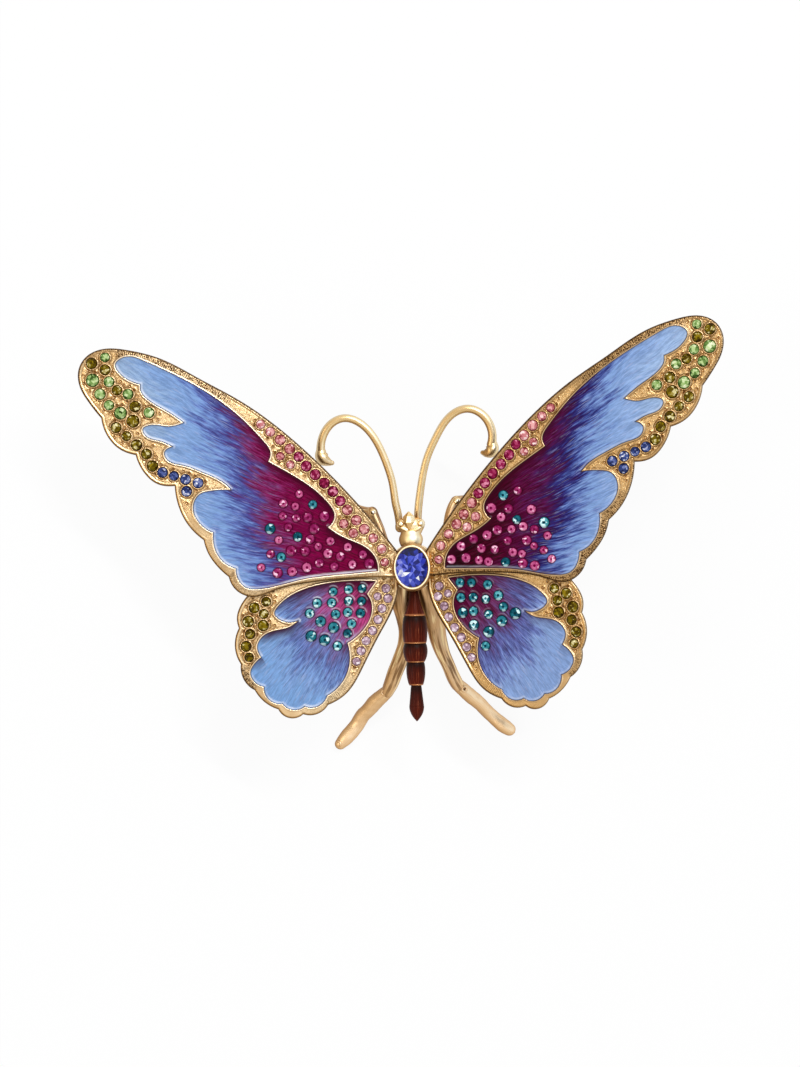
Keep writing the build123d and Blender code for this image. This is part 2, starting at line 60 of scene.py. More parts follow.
def placeCamera():
    roll, lean = math.radians(view["roll"]), math.radians(view["lean"])
    back = Vector((math.sin(lean), 0, math.cos(lean)))
    up = Vector((math.sin(roll), math.cos(roll), 0))
    up = (up - back * up.dot(back)).normalized()
    right = up.cross(back)
    target = Vector((bodyX, bodyY, view["aimHeight"])) + right * view["aimRight"] + up * view["aimUp"]
    camera = bpy.data.cameras.new("camera")
    camera.sensor_fit = "AUTO"
    camera.sensor_width = view["sensor"]
    camera.lens = view["sensor"] * view["distance"] / view["frameHeight"]
    camera.clip_start, camera.clip_end = view["nearest"], view["farthest"]
    holder = bpy.data.objects.new("camera", camera)
    holder.matrix_world = Matrix.Translation(target + back * view["distance"]) @ Matrix(
        (right, up, back)).transposed().to_4x4()
    bpy.context.scene.collection.objects.link(holder)
    bpy.context.scene.camera = holder


placeCamera()


def lampAt(name, place, wide, tall, power):
    # a softbox that points at the butterfly
    lamp = bpy.data.lights.new(name, "AREA")
    lamp.shape, lamp.size, lamp.size_y, lamp.energy = "RECTANGLE", wide, tall, power
    holder = bpy.data.objects.new(name, lamp)
    away = Vector(place) - Vector((bodyX, bodyY, studio["aimHeight"]))
    holder.location = place
    holder.rotation_euler = away.to_track_quat("Z", "Y").to_euler()
    bpy.context.scene.collection.objects.link(holder)


def socketOf(sockets, key):
    return sockets[key] if isinstance(key, int) else next(s for s in sockets if key in (s.identifier, s.name))


class Wire:
    # a node's output; Python's operators on it add Math nodes to the same material
    def __init__(self, finish, socket):
        self.finish, self.socket = finish, socket

    def reckon(self, operation, first, second=0.0):
        return self.finish.node("ShaderNodeMath", {"operation": operation}, {0: first, 1: second})

    def __add__(self, other):
        return self.reckon("ADD", self, other)

    def __sub__(self, other):
        return self.reckon("SUBTRACT", self, other)

    def __rsub__(self, other):
        return self.reckon("SUBTRACT", other, self)

    def __mul__(self, other):
        return self.reckon("MULTIPLY", self, other)

    def __truediv__(self, other):
        return self.reckon("DIVIDE", self, other)

    def __pow__(self, other):
        return self.reckon("POWER", self, other)

    __radd__, __rmul__ = __add__, __mul__


class Finish:
    # one material: its nodes come from node(), its shader's sockets are set with lay()
    def __init__(self, name):
        self.material = bpy.data.materials.new(name)
        self.material.use_nodes = True
        self.tree = self.material.node_tree
        self.shader = self.tree.nodes["Principled BSDF"]

    def feed(self, sockets, key, value):
        socket = socketOf(sockets, key)
        if isinstance(value, Wire):
            self.tree.links.new(value.socket, socket)
        else:
            socket.default_value = (*value, 1) if socket.type == "RGBA" and len(value) == 3 else value

    def node(self, kind, settings=None, values=None, out=0):
        made = self.tree.nodes.new(kind)
        for key, value in (settings or {}).items():
            if key == "stops":
                while len(made.color_ramp.elements) < len(value):
                    made.color_ramp.elements.new(0.5)
                for element, (place, color) in zip(made.color_ramp.elements, value):
                    element.position, element.color = place, (*color, 1)
            else:
                setattr(made, key, value)
        for key, value in (values or {}).items():
            self.feed(made.inputs, key, value)
        return Wire(self, socketOf(made.outputs, out))

    def lay(self, values):
        for key, value in values.items():
            self.feed(self.shader.inputs, key, value)
        return self.material

    def attribute(self, name, out="Fac"):
        return self.node("ShaderNodeAttribute", {"attribute_name": name}, out=out)

    def split(self, vector):
        return [self.node("ShaderNodeSeparateXYZ", None, {0: vector}, out) for out in (0, 1, 2)]

    def joined(self, x, y, z):
        return self.node("ShaderNodeCombineXYZ", None, {0: x, 1: y, 2: z})

    def noise(self, vector, scale, detail=2.0, roughness=0.5):
        return self.node("ShaderNodeTexNoise", None,
                         {"Vector": vector, "Scale": scale, "Detail": detail, "Roughness": roughness})

    def facing(self, direction):
        # how far the surface is turned to a direction
        normal = self.node("ShaderNodeNewGeometry", out="Normal")
        return self.node("ShaderNodeVectorMath", {"operation": "DOT_PRODUCT"},
                         {0: normal, 1: direction}, "Value")

    def sine(self, value):
        return self.node("ShaderNodeMath", {"operation": "SINE"}, {0: value})

    def ramp(self, value, places, tones):
        stops = [(place, rgb(*tone)) for place, tone in zip(places, tones)]
        return self.node("ShaderNodeValToRGB", {"stops": stops}, {0: value})

    def band(self, value, low, high, start=0.0, end=1.0):
        # value from low to high becomes start to end, smoothly and clamped
        return self.node("ShaderNodeMapRange", {"interpolation_type": "SMOOTHSTEP"},
                         {"Value": value, "From Min": low, "From Max": high, "To Min": start, "To Max": end})

    def blend(self, factor, first, second, mode="MIX"):
        return self.node("ShaderNodeMix", {"data_type": "RGBA", "blend_type": mode},
                         {"Factor_Float": factor, "A_Color": first, "B_Color": second}, "Result_Color")

    def tint(self, color, factor, tone):
        return self.blend(factor, color, rgb(*tone))

    def bump(self, height, distance, strength):
        return self.node("ShaderNodeBump", None, {"Height": height, "Distance": distance, "Strength": strength})


def rgb(red, green, blue):
    # a colour as a screen shows it, 0 to 255, in the linear values that a shader takes
    shares = (red / 255, green / 255, blue / 255)
    return tuple(share / 12.92 if share <= 0.04045 else ((share + 0.055) / 1.055) ** 2.4 for share in shares)


# lamps: place, width, height and power
studio = {"skyFill": 0.55, "floorShade": 0.07, "tableWide": 8, "tableTone": (0.9, 0.9, 0.9),
          "tableRoughness": 0.7, "aimHeight": 0.03,
          "lamps": {"stripHigh": ((0.32, 0.45, 0.95), 0.42, 0.05, 5.5),
                    "softboxLeft": ((-0.7, -0.1, 0.7), 0.5, 0.5, 2.2)}}


def buildStudio():
    world = bpy.data.worlds.new("studio")
    bpy.context.scene.world = world
    world.use_nodes = True
    tree = world.node_tree
    path = tree.nodes.new("ShaderNodeLightPath")
    most = path.outputs["Is Camera Ray"]
    for name in ("Is Glossy Ray", "Is Transmission Ray"):
        larger = tree.nodes.new("ShaderNodeMath")
        larger.operation = "MAXIMUM"
        tree.links.new(most, larger.inputs[0])
        tree.links.new(path.outputs[name], larger.inputs[1])
        most = larger.outputs[0]
    strength = tree.nodes.new("ShaderNodeMapRange")
    strength.inputs["To Min"].default_value = studio["skyFill"]
    tree.links.new(most, strength.inputs["Value"])
    sky = tree.nodes["Background"]
    sky.inputs["Color"].default_value = (1, 1, 1, 1)
    tree.links.new(strength.outputs[0], sky.inputs["Strength"])

    bpy.ops.mesh.primitive_plane_add(size=studio["tableWide"])
    table = bpy.context.object
    table.name = "tableTop"
    white = Finish("tableWhite")
    white.lay({"Base Color": studio["tableTone"], "Roughness": studio["tableRoughness"]})
    nodes = white.tree.nodes
    glow = nodes.new("ShaderNodeEmission")
    cover = nodes.new("ShaderNodeMixShader")
    seen = [white.node("ShaderNodeLightPath", out=name) for name in
            ("Is Camera Ray", "Is Glossy Ray", "Is Transmission Ray")]
    anySeen = seen[0].reckon("MAXIMUM", seen[0].reckon("MAXIMUM", seen[0], seen[1]), seen[2])
    white.feed(cover.inputs, 0, anySeen * (1 - studio["floorShade"]))
    white.tree.links.new(white.shader.outputs[0], cover.inputs[1])
    white.tree.links.new(glow.outputs[0], cover.inputs[2])
    white.tree.links.new(cover.outputs[0], nodes["Material Output"].inputs["Surface"])
    table.data.materials.append(white.material)

    for name, lamp in studio["lamps"].items():
        lampAt(name, *lamp)
    bpy.context.scene.view_settings.view_transform = "Standard"


buildStudio()
print("camera and studio placed")

# wing drawings in squares from the centre stone: the runs of the outer edge and of the enamel cell. base is the
# arch's radius in metres; hang is how far a side is swung headwards in degrees, then its reach, skew and rise.
# Then for each side: how rough each run of the rim is, with the painted shade on it, and the strengths of the
# painted highlight on the bead's lip, the painted shade in the crease at the cell wall, the painted highlight
# along the enamel's edge, the painted arcs of highlight beside the stones and the painted shade beside the cell
# walls
wings = {
    "forewing": {
        "base": 0.3638,
        "hang": {"left": (2.3, 0.99, 0.0, 0.99), "right": (3.5, 0.948, 0.066, 1.0)},
        "edge": [
            [(49, 58), (102, 113), (176, 170), (213, 190), (252, 210), (285, 218.5),
             (312, 219), (327, 211), (334, 198), (332, 180), (323, 165), (311, 150)],
            [(307, 136), (295.5, 121), (276.5, 113)],
            [(270, 98), (257, 85), (237.5, 82)],
            [(235.5, 68), (227, 47), (208.5, 27.5)],
            [(204, 14), (193, -1), (183.5, -9.5)],
            [(177, -22), (162, -29.5), (137, -23), (107, -16), (72, -12), (14, -10.5)],
            [(14, 15)]],
        "cell": [
            [(130, 98.5), (98, 78), (83, 63), (78, 53), (80, 45.5), (85, 40.5)],
            [(72.5, 32), (58, 25.5), (43, 17), (36, 7), (34.5, -4)],
            [(68, -7), (112, -12.5), (152, -21.5), (168, -19), (174.5, -10), (176, -1)],
            [(188, 5), (195.5, 15), (198.5, 26), (198.5, 35)],
            [(211.5, 43.5), (218, 54.5), (218, 65), (213, 73), (200.5, 77), (180.5, 77.5)],
            [(187.5, 84.5), (208, 95), (230.5, 103), (245.5, 109), (247.5, 114.5), (239, 121.5)],
            [(252, 127), (267, 133), (269, 139), (263.5, 142.5), (243, 141.5), (228, 145.5)],
            [(245, 157), (264, 168.5), (271, 177), (271.5, 184)],
            [(281, 187), (292, 194.5), (296.5, 204), (288, 211), (268, 207.5), (208, 177.5),
             (178, 156), (148.5, 126.5), (142, 116), (144.5, 106.5)]],
        "hatch": {"left": (0.9, 0.2, 0.2, 0.13, 0.25, 0.42, 0.25),
                  "right": (0.96, 0.4, 0.45, 0.84, 1.0, 0.85, 0.25)},
        "lip": {"left": 0.7, "right": 0.15}, "crease": {"left": 0.55, "right": 0.9},
        "gleam": {"left": 1.0, "right": 0.3}, "arcs": {"left": 0.0, "right": 0.0},
        "darkSide": (0.55, -0.83), "shade": {"left": 0.9, "right": 0.9}},
    "hindwing": {
        "base": 0.362,
        "hang": {"left": (2.3, 0.99, 0.0, 1.01), "right": (3.4, 0.957, 0.041, 1.0235)},
        "edge": [
            [(55, 6), (100, 1), (150, -14), (168, -31), (176, -50), (174, -60)],
            [(178, -78), (172, -95.7)],
            [(168.5, -112), (158, -121.5)],
            [(148.5, -133), (134.5, -140.5)],
            [(121.5, -149.5), (109.5, -145.5)],
            [(97.5, -146), (84.7, -136.5)],
            [(66, -125), (50.5, -101), (33, -67), (17.5, -36), (14, -22)],
            [(14, 2)]],
        "cell": [
            [(41, -37), (43, -51), (52, -64.5), (65.5, -75)],
            [(63, -88), (66, -105.5), (78, -122), (85.5, -127)],
            [(92, -136), (101.5, -139), (108, -137.5)],
            [(120, -141), (130, -135)],
            [(142, -132), (148.5, -118)],
            [(158.5, -112.5), (162, -103.5), (158.5, -96), (151, -89)],
            [(155, -77), (150, -68.5), (136.5, -62.5), (124, -59.5), (114, -52.5)],
            [(130, -53), (138, -46), (133, -37), (122.5, -28.5), (106, -21), (88, -16.5),
             (52, -13.5), (37, -14)],
            [(46, -26.5)]],
        "hatch": {"left": (0.22, 0.26, 0.74, 0.08, 0.0, 0.2, 0.5, 0.12),
                  "right": (0.5, 0.5, 0.55, 0.0, 0.0, 0.0, 0.38, 0.2)},
        "lip": {"left": 0.5, "right": 0.15}, "crease": {"left": 0.4, "right": 0.8},
        "gleam": {"left": 0.8, "right": 0.4}, "arcs": {"left": 0.7, "right": 0.2},
        "darkSide": (0.3, -0.95), "shade": {"left": 0.9, "right": 0.4}}}

# out, headwards and width of each stone
stoneSpots = {
    "forewing_green_stones": [
        (307, 211, 9.5), (319.5, 188, 13), (303, 186.5, 10.5), (284, 174, 10.5), (312, 174, 11),
        (303, 163, 10), (291.5, 155, 12.5), (263, 155.5, 10.5)],
    "forewing_olive_stones": [
        (320.5, 205, 11), (307, 198.5, 10.5), (295, 178, 10), (277, 161.5, 11), (279, 147, 12.5),
        (296, 140.5, 10.5), (285.5, 132, 9.5), (275.5, 123, 11), (265.5, 114, 10.5), (259.5, 102, 11)],
    "forewing_blue_stones": [
        (249.5, 95.5, 10.5), (238, 92, 9.5), (226.5, 88.5, 10.5), (214, 85, 10.5), (225.5, 76.5, 10.5)],
    "forewing_edge_pink_stones": [
        (151.5, 144, 9), (142, 136.5, 9.5), (132, 128.5, 10.5), (122.5, 119.5, 10.5),
        (132, 112, 8.5), (122, 103.5, 8.5), (65, 58, 10.5), (68.5, 44, 9.5), (56, 47.5, 10.5),
        (59, 34.5, 9.5), (48, 38.5, 10.5), (39, 29.5, 9.5), (30.5, 18.5, 9.5), (27.5, 5, 8.5)],
    "forewing_ruby_stones": [
        (113.5, 111.5, 10.2), (106, 102, 10.8), (97, 93.5, 10.8), (88, 85, 10.8), (79.5, 76.5, 10.8),
        (72, 67, 10.5)],
    "forewing_rose_stones": [
        (113, 74, 8), (129, 64.5, 8.5), (117, 61.5, 8), (88, 51.5, 10), (129.5, 52, 8), (116, 50, 8),
        (104.5, 50.5, 9.5), (124, 40.5, 8), (98, 39, 10), (133.5, 27.5, 8), (102, 28.5, 9),
        (82, 26.5, 8.5), (94, 21, 8), (121, 17, 10), (107, 16.5, 9.5), (84.5, 14, 9.5),
        (64.5, 20.5, 8.5), (72, 11, 9), (49.5, 13, 8.5), (43, 4, 10), (141.5, 13.5, 8),
        (151, 0, 8), (134.5, -5.5, 9.5), (120, -4, 9.5), (105.5, 0, 9.5), (93, 4.5, 8.5),
        (78, 1, 8.5), (60, 3, 8.5)],
    "forewing_teal_stones": [
        (99.5, 63.5, 8.5), (142, 39, 10), (114.5, 31, 9), (131, 10.5, 9)],
    "hindwing_olive_stones": [
        (146.5, -34, 9.5), (158.5, -40, 10.5), (149, -46, 9.5), (164.5, -53.5, 11),
        (149.5, -57.5, 10.8), (162.5, -66, 10), (166.5, -78, 10.5), (163.5, -89, 9)],
    "hindwing_teal_stones": [
        (79.5, -24, 8.5), (64, -22, 8.5), (50.5, -21, 8.5), (81, -35, 9), (64, -33.5, 9),
        (51, -33.5, 8.5), (95.5, -35.5, 9), (77, -46.5, 9), (65, -44.5, 9), (52, -45.5, 9),
        (103, -45.5, 9), (92, -53.5, 10), (61, -56, 9), (79, -59.5, 10.5), (65, -65.5, 8.5),
        (101.5, -68, 10.5), (88, -72, 10.5), (75, -78, 9)],
    "hindwing_lilac_stones": [
        (26.5, -21, 9), (35, -29, 8), (24.5, -31, 9), (30.5, -41, 9), (34.5, -52, 9),
        (40, -63, 9), (46.5, -73, 9), (51.5, -83, 9), (56, -93.5, 8.5)]}
# the stones in the enamel were scattered by hand, so the right wings have their own places
ownRightSpots = {
    "forewing_rose_stones": [
        (85.5, 51, 10), (103.5, 48.5, 9), (127.5, 45.5, 9.5), (95.5, 41, 9), (118.5, 29.5, 9),
        (130, 25.5, 8.5), (91, 28.5, 9.5), (106, 28, 8.5), (80, 24.5, 9.5), (143.5, 18, 8),
        (121.5, 15.5, 9.5), (65.5, 22, 9), (101.5, 17, 8.5), (52, 16, 9), (73.5, 12, 9), (129, 9, 7.5),
        (87.5, 9.5, 8.5), (139, 4, 8), (106.5, 5, 9), (116, 2.5, 8), (147, -5.5, 8), (41.5, 4, 9),
        (57, 4, 9.5), (70.5, 0.5, 8.5), (80.5, -2, 9), (116.5, -7, 9.5), (129, -10.5, 9.5), (114, 65.5, 8)],
    "forewing_teal_stones": [(98.5, 62.5, 9.5), (112, 37, 8.5), (140.5, 31.5, 10.5), (98.5, -4, 9)],
    "hindwing_teal_stones": [
        (48.5, -19.5, 9), (60.5, -20.5, 8.5), (77.5, -24, 9), (48.5, -34, 9), (61.5, -35, 9),
        (74.5, -38, 8.5), (88, -35.5, 9.5), (92.5, -47, 9), (49.5, -49, 10), (61, -48.5, 9),
        (76.5, -53, 8.5), (104.5, -54.5, 11), (90, -60.5, 10.5), (60.5, -62, 10), (75.5, -70, 10.5),
        (71.5, -83.5, 9)]}
stonesInEnamel = ("forewing_rose_stones", "forewing_teal_stones", "hindwing_teal_stones")

# heights above the underside of a casting, in metres
levels = {"skirt": 0.00035, "floor": 0.0008, "girdle": 0.00155, "girdleInEnamel": 0.0016}


def smoothRun(points, step):
    # evenly spaced points along a straight line, an arc of three points or a smooth curve, without the last
    p = np.array(points, float)
    if len(p) == 2:
        fine = p[0] + np.linspace(0, 1, 200)[:, None] * (p[1] - p[0])
    elif len(p) == 3:
        grid = np.array([p[1] - p[0], p[2] - p[0]])
        middle = p[0] + np.linalg.solve(2 * grid, (grid ** 2).sum(1))
        turns = np.unwrap(np.arctan2(*(p - middle).T[::-1]))
        angle = np.interp(np.linspace(0, 2, 400), [0, 1, 2], turns)
        fine = middle + np.linalg.norm(p[0] - middle) * np.stack([np.cos(angle), np.sin(angle)], 1)
    else:
        h = np.linalg.norm(np.diff(p, axis=0), axis=1)
        d = np.diff(p, axis=0) / h[:, None]
        n = len(p)
        rows, right = np.eye(n), np.zeros(p.shape)
        right[0] = d[0] * (2 * h[0] + h[1]) / (h[0] + h[1]) - d[1] * h[0] / (h[0] + h[1])
        right[-1] = d[-1] * (2 * h[-1] + h[-2]) / (h[-1] + h[-2]) - d[-2] * h[-1] / (h[-1] + h[-2])
        for i in range(1, n - 1):
            rows[i, i - 1:i + 2] = 1 / h[i - 1], 2 / h[i - 1] + 2 / h[i], 1 / h[i]
            right[i] = 3 * (d[i - 1] / h[i - 1] + d[i] / h[i])
        slope = np.linalg.solve(rows, right)
        t = np.linspace(0, 1, 60)[:, None]
        parts = [(2 * t ** 3 - 3 * t ** 2 + 1) * p[i] + (t ** 3 - 2 * t ** 2 + t) * h[i] * slope[i]
                 + (3 * t ** 2 - 2 * t ** 3) * p[i + 1] + (t ** 3 - t ** 2) * h[i] * slope[i + 1]
                 for i in range(n - 1)]
        fine = np.concatenate(parts)
    run = np.concatenate([[0], np.cumsum(np.linalg.norm(np.diff(fine, axis=0), axis=1))])
    count = max(2, round(run[-1] / step))
    at = np.linspace(0, run[-1], count + 1)[:-1]
    return np.stack([np.interp(at, run, column) for column in fine.T], 1)


# steps that each piece of an outline is cut into for nearest points
finer = 4


class Loop:
    # a closed outline of the drawing, with quick nearest-point questions
    def __init__(self, runs, step):
        last, parts, runOf = runs[-1][-1], [], []
        for index, run in enumerate(runs):
            parts.append(smoothRun([last] + run, step))
            runOf += [index] * len(parts[-1])
            last = run[-1]
        self.points = np.concatenate(parts)
        self.runOf = np.array(runOf)
        after, before = np.roll(self.points, -1, 0), np.roll(self.points, 1, 0)
        tangent = after - before
        tangent /= np.linalg.norm(tangent, axis=1)[:, None]
        self.area = (self.points[:, 0] * after[:, 1] - after[:, 0] * self.points[:, 1]).sum() / 2
        self.inward = np.stack([-tangent[:, 1], tangent[:, 0]], 1) * np.sign(self.area)
        fineParts = [self.points + (after - self.points) * k / finer for k in range(finer)]
        self.fine = np.stack(fineParts, 1).reshape(-1, 2)
        lengths = np.linalg.norm(after - self.points, axis=1)
        self.along = np.repeat(np.concatenate([[0], np.cumsum(lengths)[:-1]]), finer) + np.tile(
            np.arange(finer) / finer, len(lengths)) * np.repeat(lengths, finer)
        self.tree = kdtree.KDTree(len(self.fine))
        for i, point in enumerate(self.fine):
            self.tree.insert((point[0], point[1], 0), i)
        self.tree.balance()

    def nearest(self, points):
        # distance, and index of the nearest fine point, for many points
        found = [self.tree.find((x, y, 0)) for x, y in points]
        return np.array([f[2] for f in found]), np.array([f[1] for f in found])

    def beside(self, offset):
        # points that lie one distance inside (or outside, if negative) the outline
        moved = self.points + self.inward * offset
        gaps, _ = self.nearest(moved)
        return moved[gaps > abs(offset) * 0.94]


def sparse(points, spacing, taken):
    # the points that keep their distance from each other and from those taken before
    kept = []
    for x, y in points:
        cell = (int(x // spacing), int(y // spacing))
        near = [q for i in (-1, 0, 1) for j in (-1, 0, 1) for q in taken.get((cell[0] + i, cell[1] + j), ())]
        if all((x - q[0]) ** 2 + (y - q[1]) ** 2 > spacing ** 2 for q in near):
            taken.setdefault(cell, []).append((x, y))
            kept.append((x, y))
    return kept


def gridOver(loop, spacing):
    low, high = loop.points.min(0), loop.points.max(0)
    rows = []
    for j, y in enumerate(np.arange(low[1], high[1], spacing * 0.87)):
        xs = np.arange(low[0] + (j % 2) * spacing / 2, high[0], spacing)
        rows.append(np.stack([xs, np.full_like(xs, y)], 1))
    return np.concatenate(rows)


def triangles(loops, extra):
    # the drawing cut into triangles between its loops; region is how many loops go round each one
    corners = np.concatenate([loop.points for loop in loops] + [np.array(extra).reshape(-1, 2)])
    starts = np.cumsum([0] + [len(loop.points) for loop in loops])
    rings = [list(range(starts[i], starts[i + 1])) for i in range(len(loops))]
    leftHanded = [ring if loop.area > 0 else ring[::-1] for ring, loop in zip(rings, loops)]
    result = geometry.delaunay_2d_cdt([Vector(c) for c in corners], [], leftHanded, 1, 1e-5)
    flat = np.array([tuple(v) for v in result[0]])
    newPlace = {old: new for new, olds in enumerate(result[3]) for old in olds}
    loopPlaces = [[newPlace[i] for i in ring] for ring in rings]
    faces = np.array(result[2])
    region = np.array([len(set(owners)) for owners in result[5]])
    a, b, c = (flat[faces[:, k]] for k in range(3))
    turned = (b[:, 0] - a[:, 0]) * (c[:, 1] - a[:, 1]) - (c[:, 0] - a[:, 0]) * (b[:, 1] - a[:, 1]) < 0
    faces[turned] = faces[turned][:, ::-1]
    return flat, faces, region, loopPlaces


handOf = {"left": -1, "right": 1}


def onWing(flat, height, wing, side):
    # points of the drawing at a height above the casting's underside, as places in the part's frame
    swing, reach, skew, rise = wings[wing]["hang"][side]
    turn, root = math.radians(swing), layout["rootSquares"]
    out, up = root + (flat[:, 0] - root) * reach + flat[:, 1] * skew, flat[:, 1] * rise
    x = (out * math.cos(turn) - up * math.sin(turn)) * square
    y = (out * math.sin(turn) + up * math.cos(turn)) * square
    z = archZ + np.sqrt((wings[wing]["base"] + height) ** 2 - (x - archX) ** 2)
    return np.stack([bodyX + x * handOf[side], bodyY + y, z], 1)


def meshPiece(name, points, faces, attributes, smooth=True):
    if faces:
        # points that no face uses would widen the piece's box
        used = np.unique(np.concatenate([np.asarray(face) for face in faces]))
        place = np.zeros(len(points), int)
        place[used] = np.arange(len(used))
        points, faces = points[used], [tuple(place[list(face)].tolist()) for face in faces]
        attributes = {key: values[used] for key, values in attributes.items()}
    mesh = bpy.data.meshes.new(name)
    mesh.from_pydata([tuple(p) for p in points], [], faces)
    for key, values in attributes.items():
        kind, field = ("FLOAT", "value") if values.ndim == 1 else ("FLOAT_VECTOR", "vector")
        mesh.attributes.new(key, kind, "POINT").data.foreach_set(field, np.asarray(values, float).ravel())
    mesh.polygons.foreach_set("use_smooth", [smooth] * len(mesh.polygons))
    mesh.update()
    return shown(name, mesh)


def shown(name, mesh):
    piece = bpy.data.objects.new(name, mesh)
    bpy.context.scene.collection.objects.link(piece)
    return piece


def baked(name, piece):
    # what the piece's modifiers make of it, as a plain mesh in its stead
    bpy.context.view_layer.update()
    mesh = bpy.data.meshes.new_from_object(piece.evaluated_get(bpy.context.evaluated_depsgraph_get()))
    mesh.name = name
    result, old = shown(name, mesh), piece.data
    bpy.data.objects.remove(piece)
    bpy.data.meshes.remove(old)
    return result


def dress(piece, material, slot, *nodes):
    if material:
        piece.data.materials.clear()
        piece.data.materials.append(material)
    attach(piece, "root")
    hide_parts(*nodes)


def strip(first, second, outward):
    # faces of a wall between two rings of equal length
    walls = []
    for a, b, c, d in zip(first, np.roll(first, -1), np.roll(second, -1), second):
        walls += [(a, b, c), (a, c, d)]
    return [wall[::-1] for wall in walls] if outward else walls


def spotsOf(name, side):
    return ownRightSpots.get(name, stoneSpots[name]) if side == "right" else stoneSpots[name]


def stoneList(wing, side, inEnamel):
    return np.array([spot for name in stoneSpots for spot in spotsOf(name, side)
                     if name.startswith(wing) and (name in stonesInEnamel) == inEnamel], float)


def gapToStones(flat, stones):
    # distance to the rim of the nearest stone, less than 0 on the stone itself
    gaps = np.full(len(flat), 99.0)
    for out, up, wide in stones:
        gaps = np.minimum(gaps, np.hypot(flat[:, 0] - out, flat[:, 1] - up) - wide / 2)
    return gaps


def stoneRings(stones, offsets, spacing):
    points = []
    for out, up, wide in stones:
        for offset in offsets:
            radius = wide / 2 + offset
            angles = np.arange(0, 2 * math.pi, spacing / radius)
            points += [(out + radius * math.cos(a), up + radius * math.sin(a)) for a in angles]
    return points


def hump(values, middle, width, power=2):
    return np.exp(-((values - middle) / width) ** power)


def humps(values, rows):
    # bumps and dips added up: how high each is, where, and how wide
    return sum(height * hump(values, middle, width) for height, middle, width in rows)


def insideLoop(points, loop):
    inside = np.zeros(len(points), bool)
    x, y = points[:, 0], points[:, 1]
    for (x1, y1), (x2, y2) in zip(loop, np.roll(loop, -1, 0)):
        crosses = (y1 > y) != (y2 > y)
        if y1 != y2:
            inside ^= crosses & (x < (x2 - x1) * (y - y1) / (y2 - y1) + x1)
    return inside


# castings: distances in squares from the edge or the cell, and the heights there in millimetres
casting = {
    "step": 0.9, "gridSpacing": 1.15, "ringSpacing": 0.3, "fromLoops": 0.7, "ground": 1.38, "millimetre": 1000,
    "edgeRings": (0.4, 0.9, 1.4, 1.9, 2.5, 3.1, 3.7, 4.4), "railWidth": 3.8,
    "rail": (0.84, 1.10, 1.28, 1.40, 1.46, 1.46, 1.40, 1.32, 1.38),
    "cellRings": (0.4, 0.8, 1.3, 1.8, 2.3, 2.9, 3.6), "beadWidth": 2.6,
    "bead": (1.50, 1.60, 1.63, 1.60, 1.50, 1.35, 1.38),
    "collar": [(0.13, 0.7, 0.45), (-0.12, 1.9, 0.5)], "crater": [(0.09, 1.6, 0.4), (-0.30, 0, 0.8)],
    "narrowRim": 13, "narrowFade": 3, "narrowBand": (0.84, 1.10, 1.26, 1.35, 1.40), "narrowSlope": 0.12,
    "narrowBead": [(0.10, 0.8, 0.5)], "glassRings": (0.5, 1.2, 2.2, 3.4),
    "settingRings": (0.1, 0.7, 1.3, 2.0), "meniscusRings": (0.1, 0.7, 1.3, 1.9, 2.5),
    "pitRings": (0.01, 0.9, 1.6, 2.1), "pitTries": 6000, "pitSpacing": 4.6, "pitCount": 70,
    "pitClear": {"edge": 5.4, "cell": 4.6, "stones": (2.0, 8)}, "pitShine": (1.4, 0.55)}
back = {"edgeSpacing": 1.2, "gridSpacing": 3.0, "spacing": 1.5}


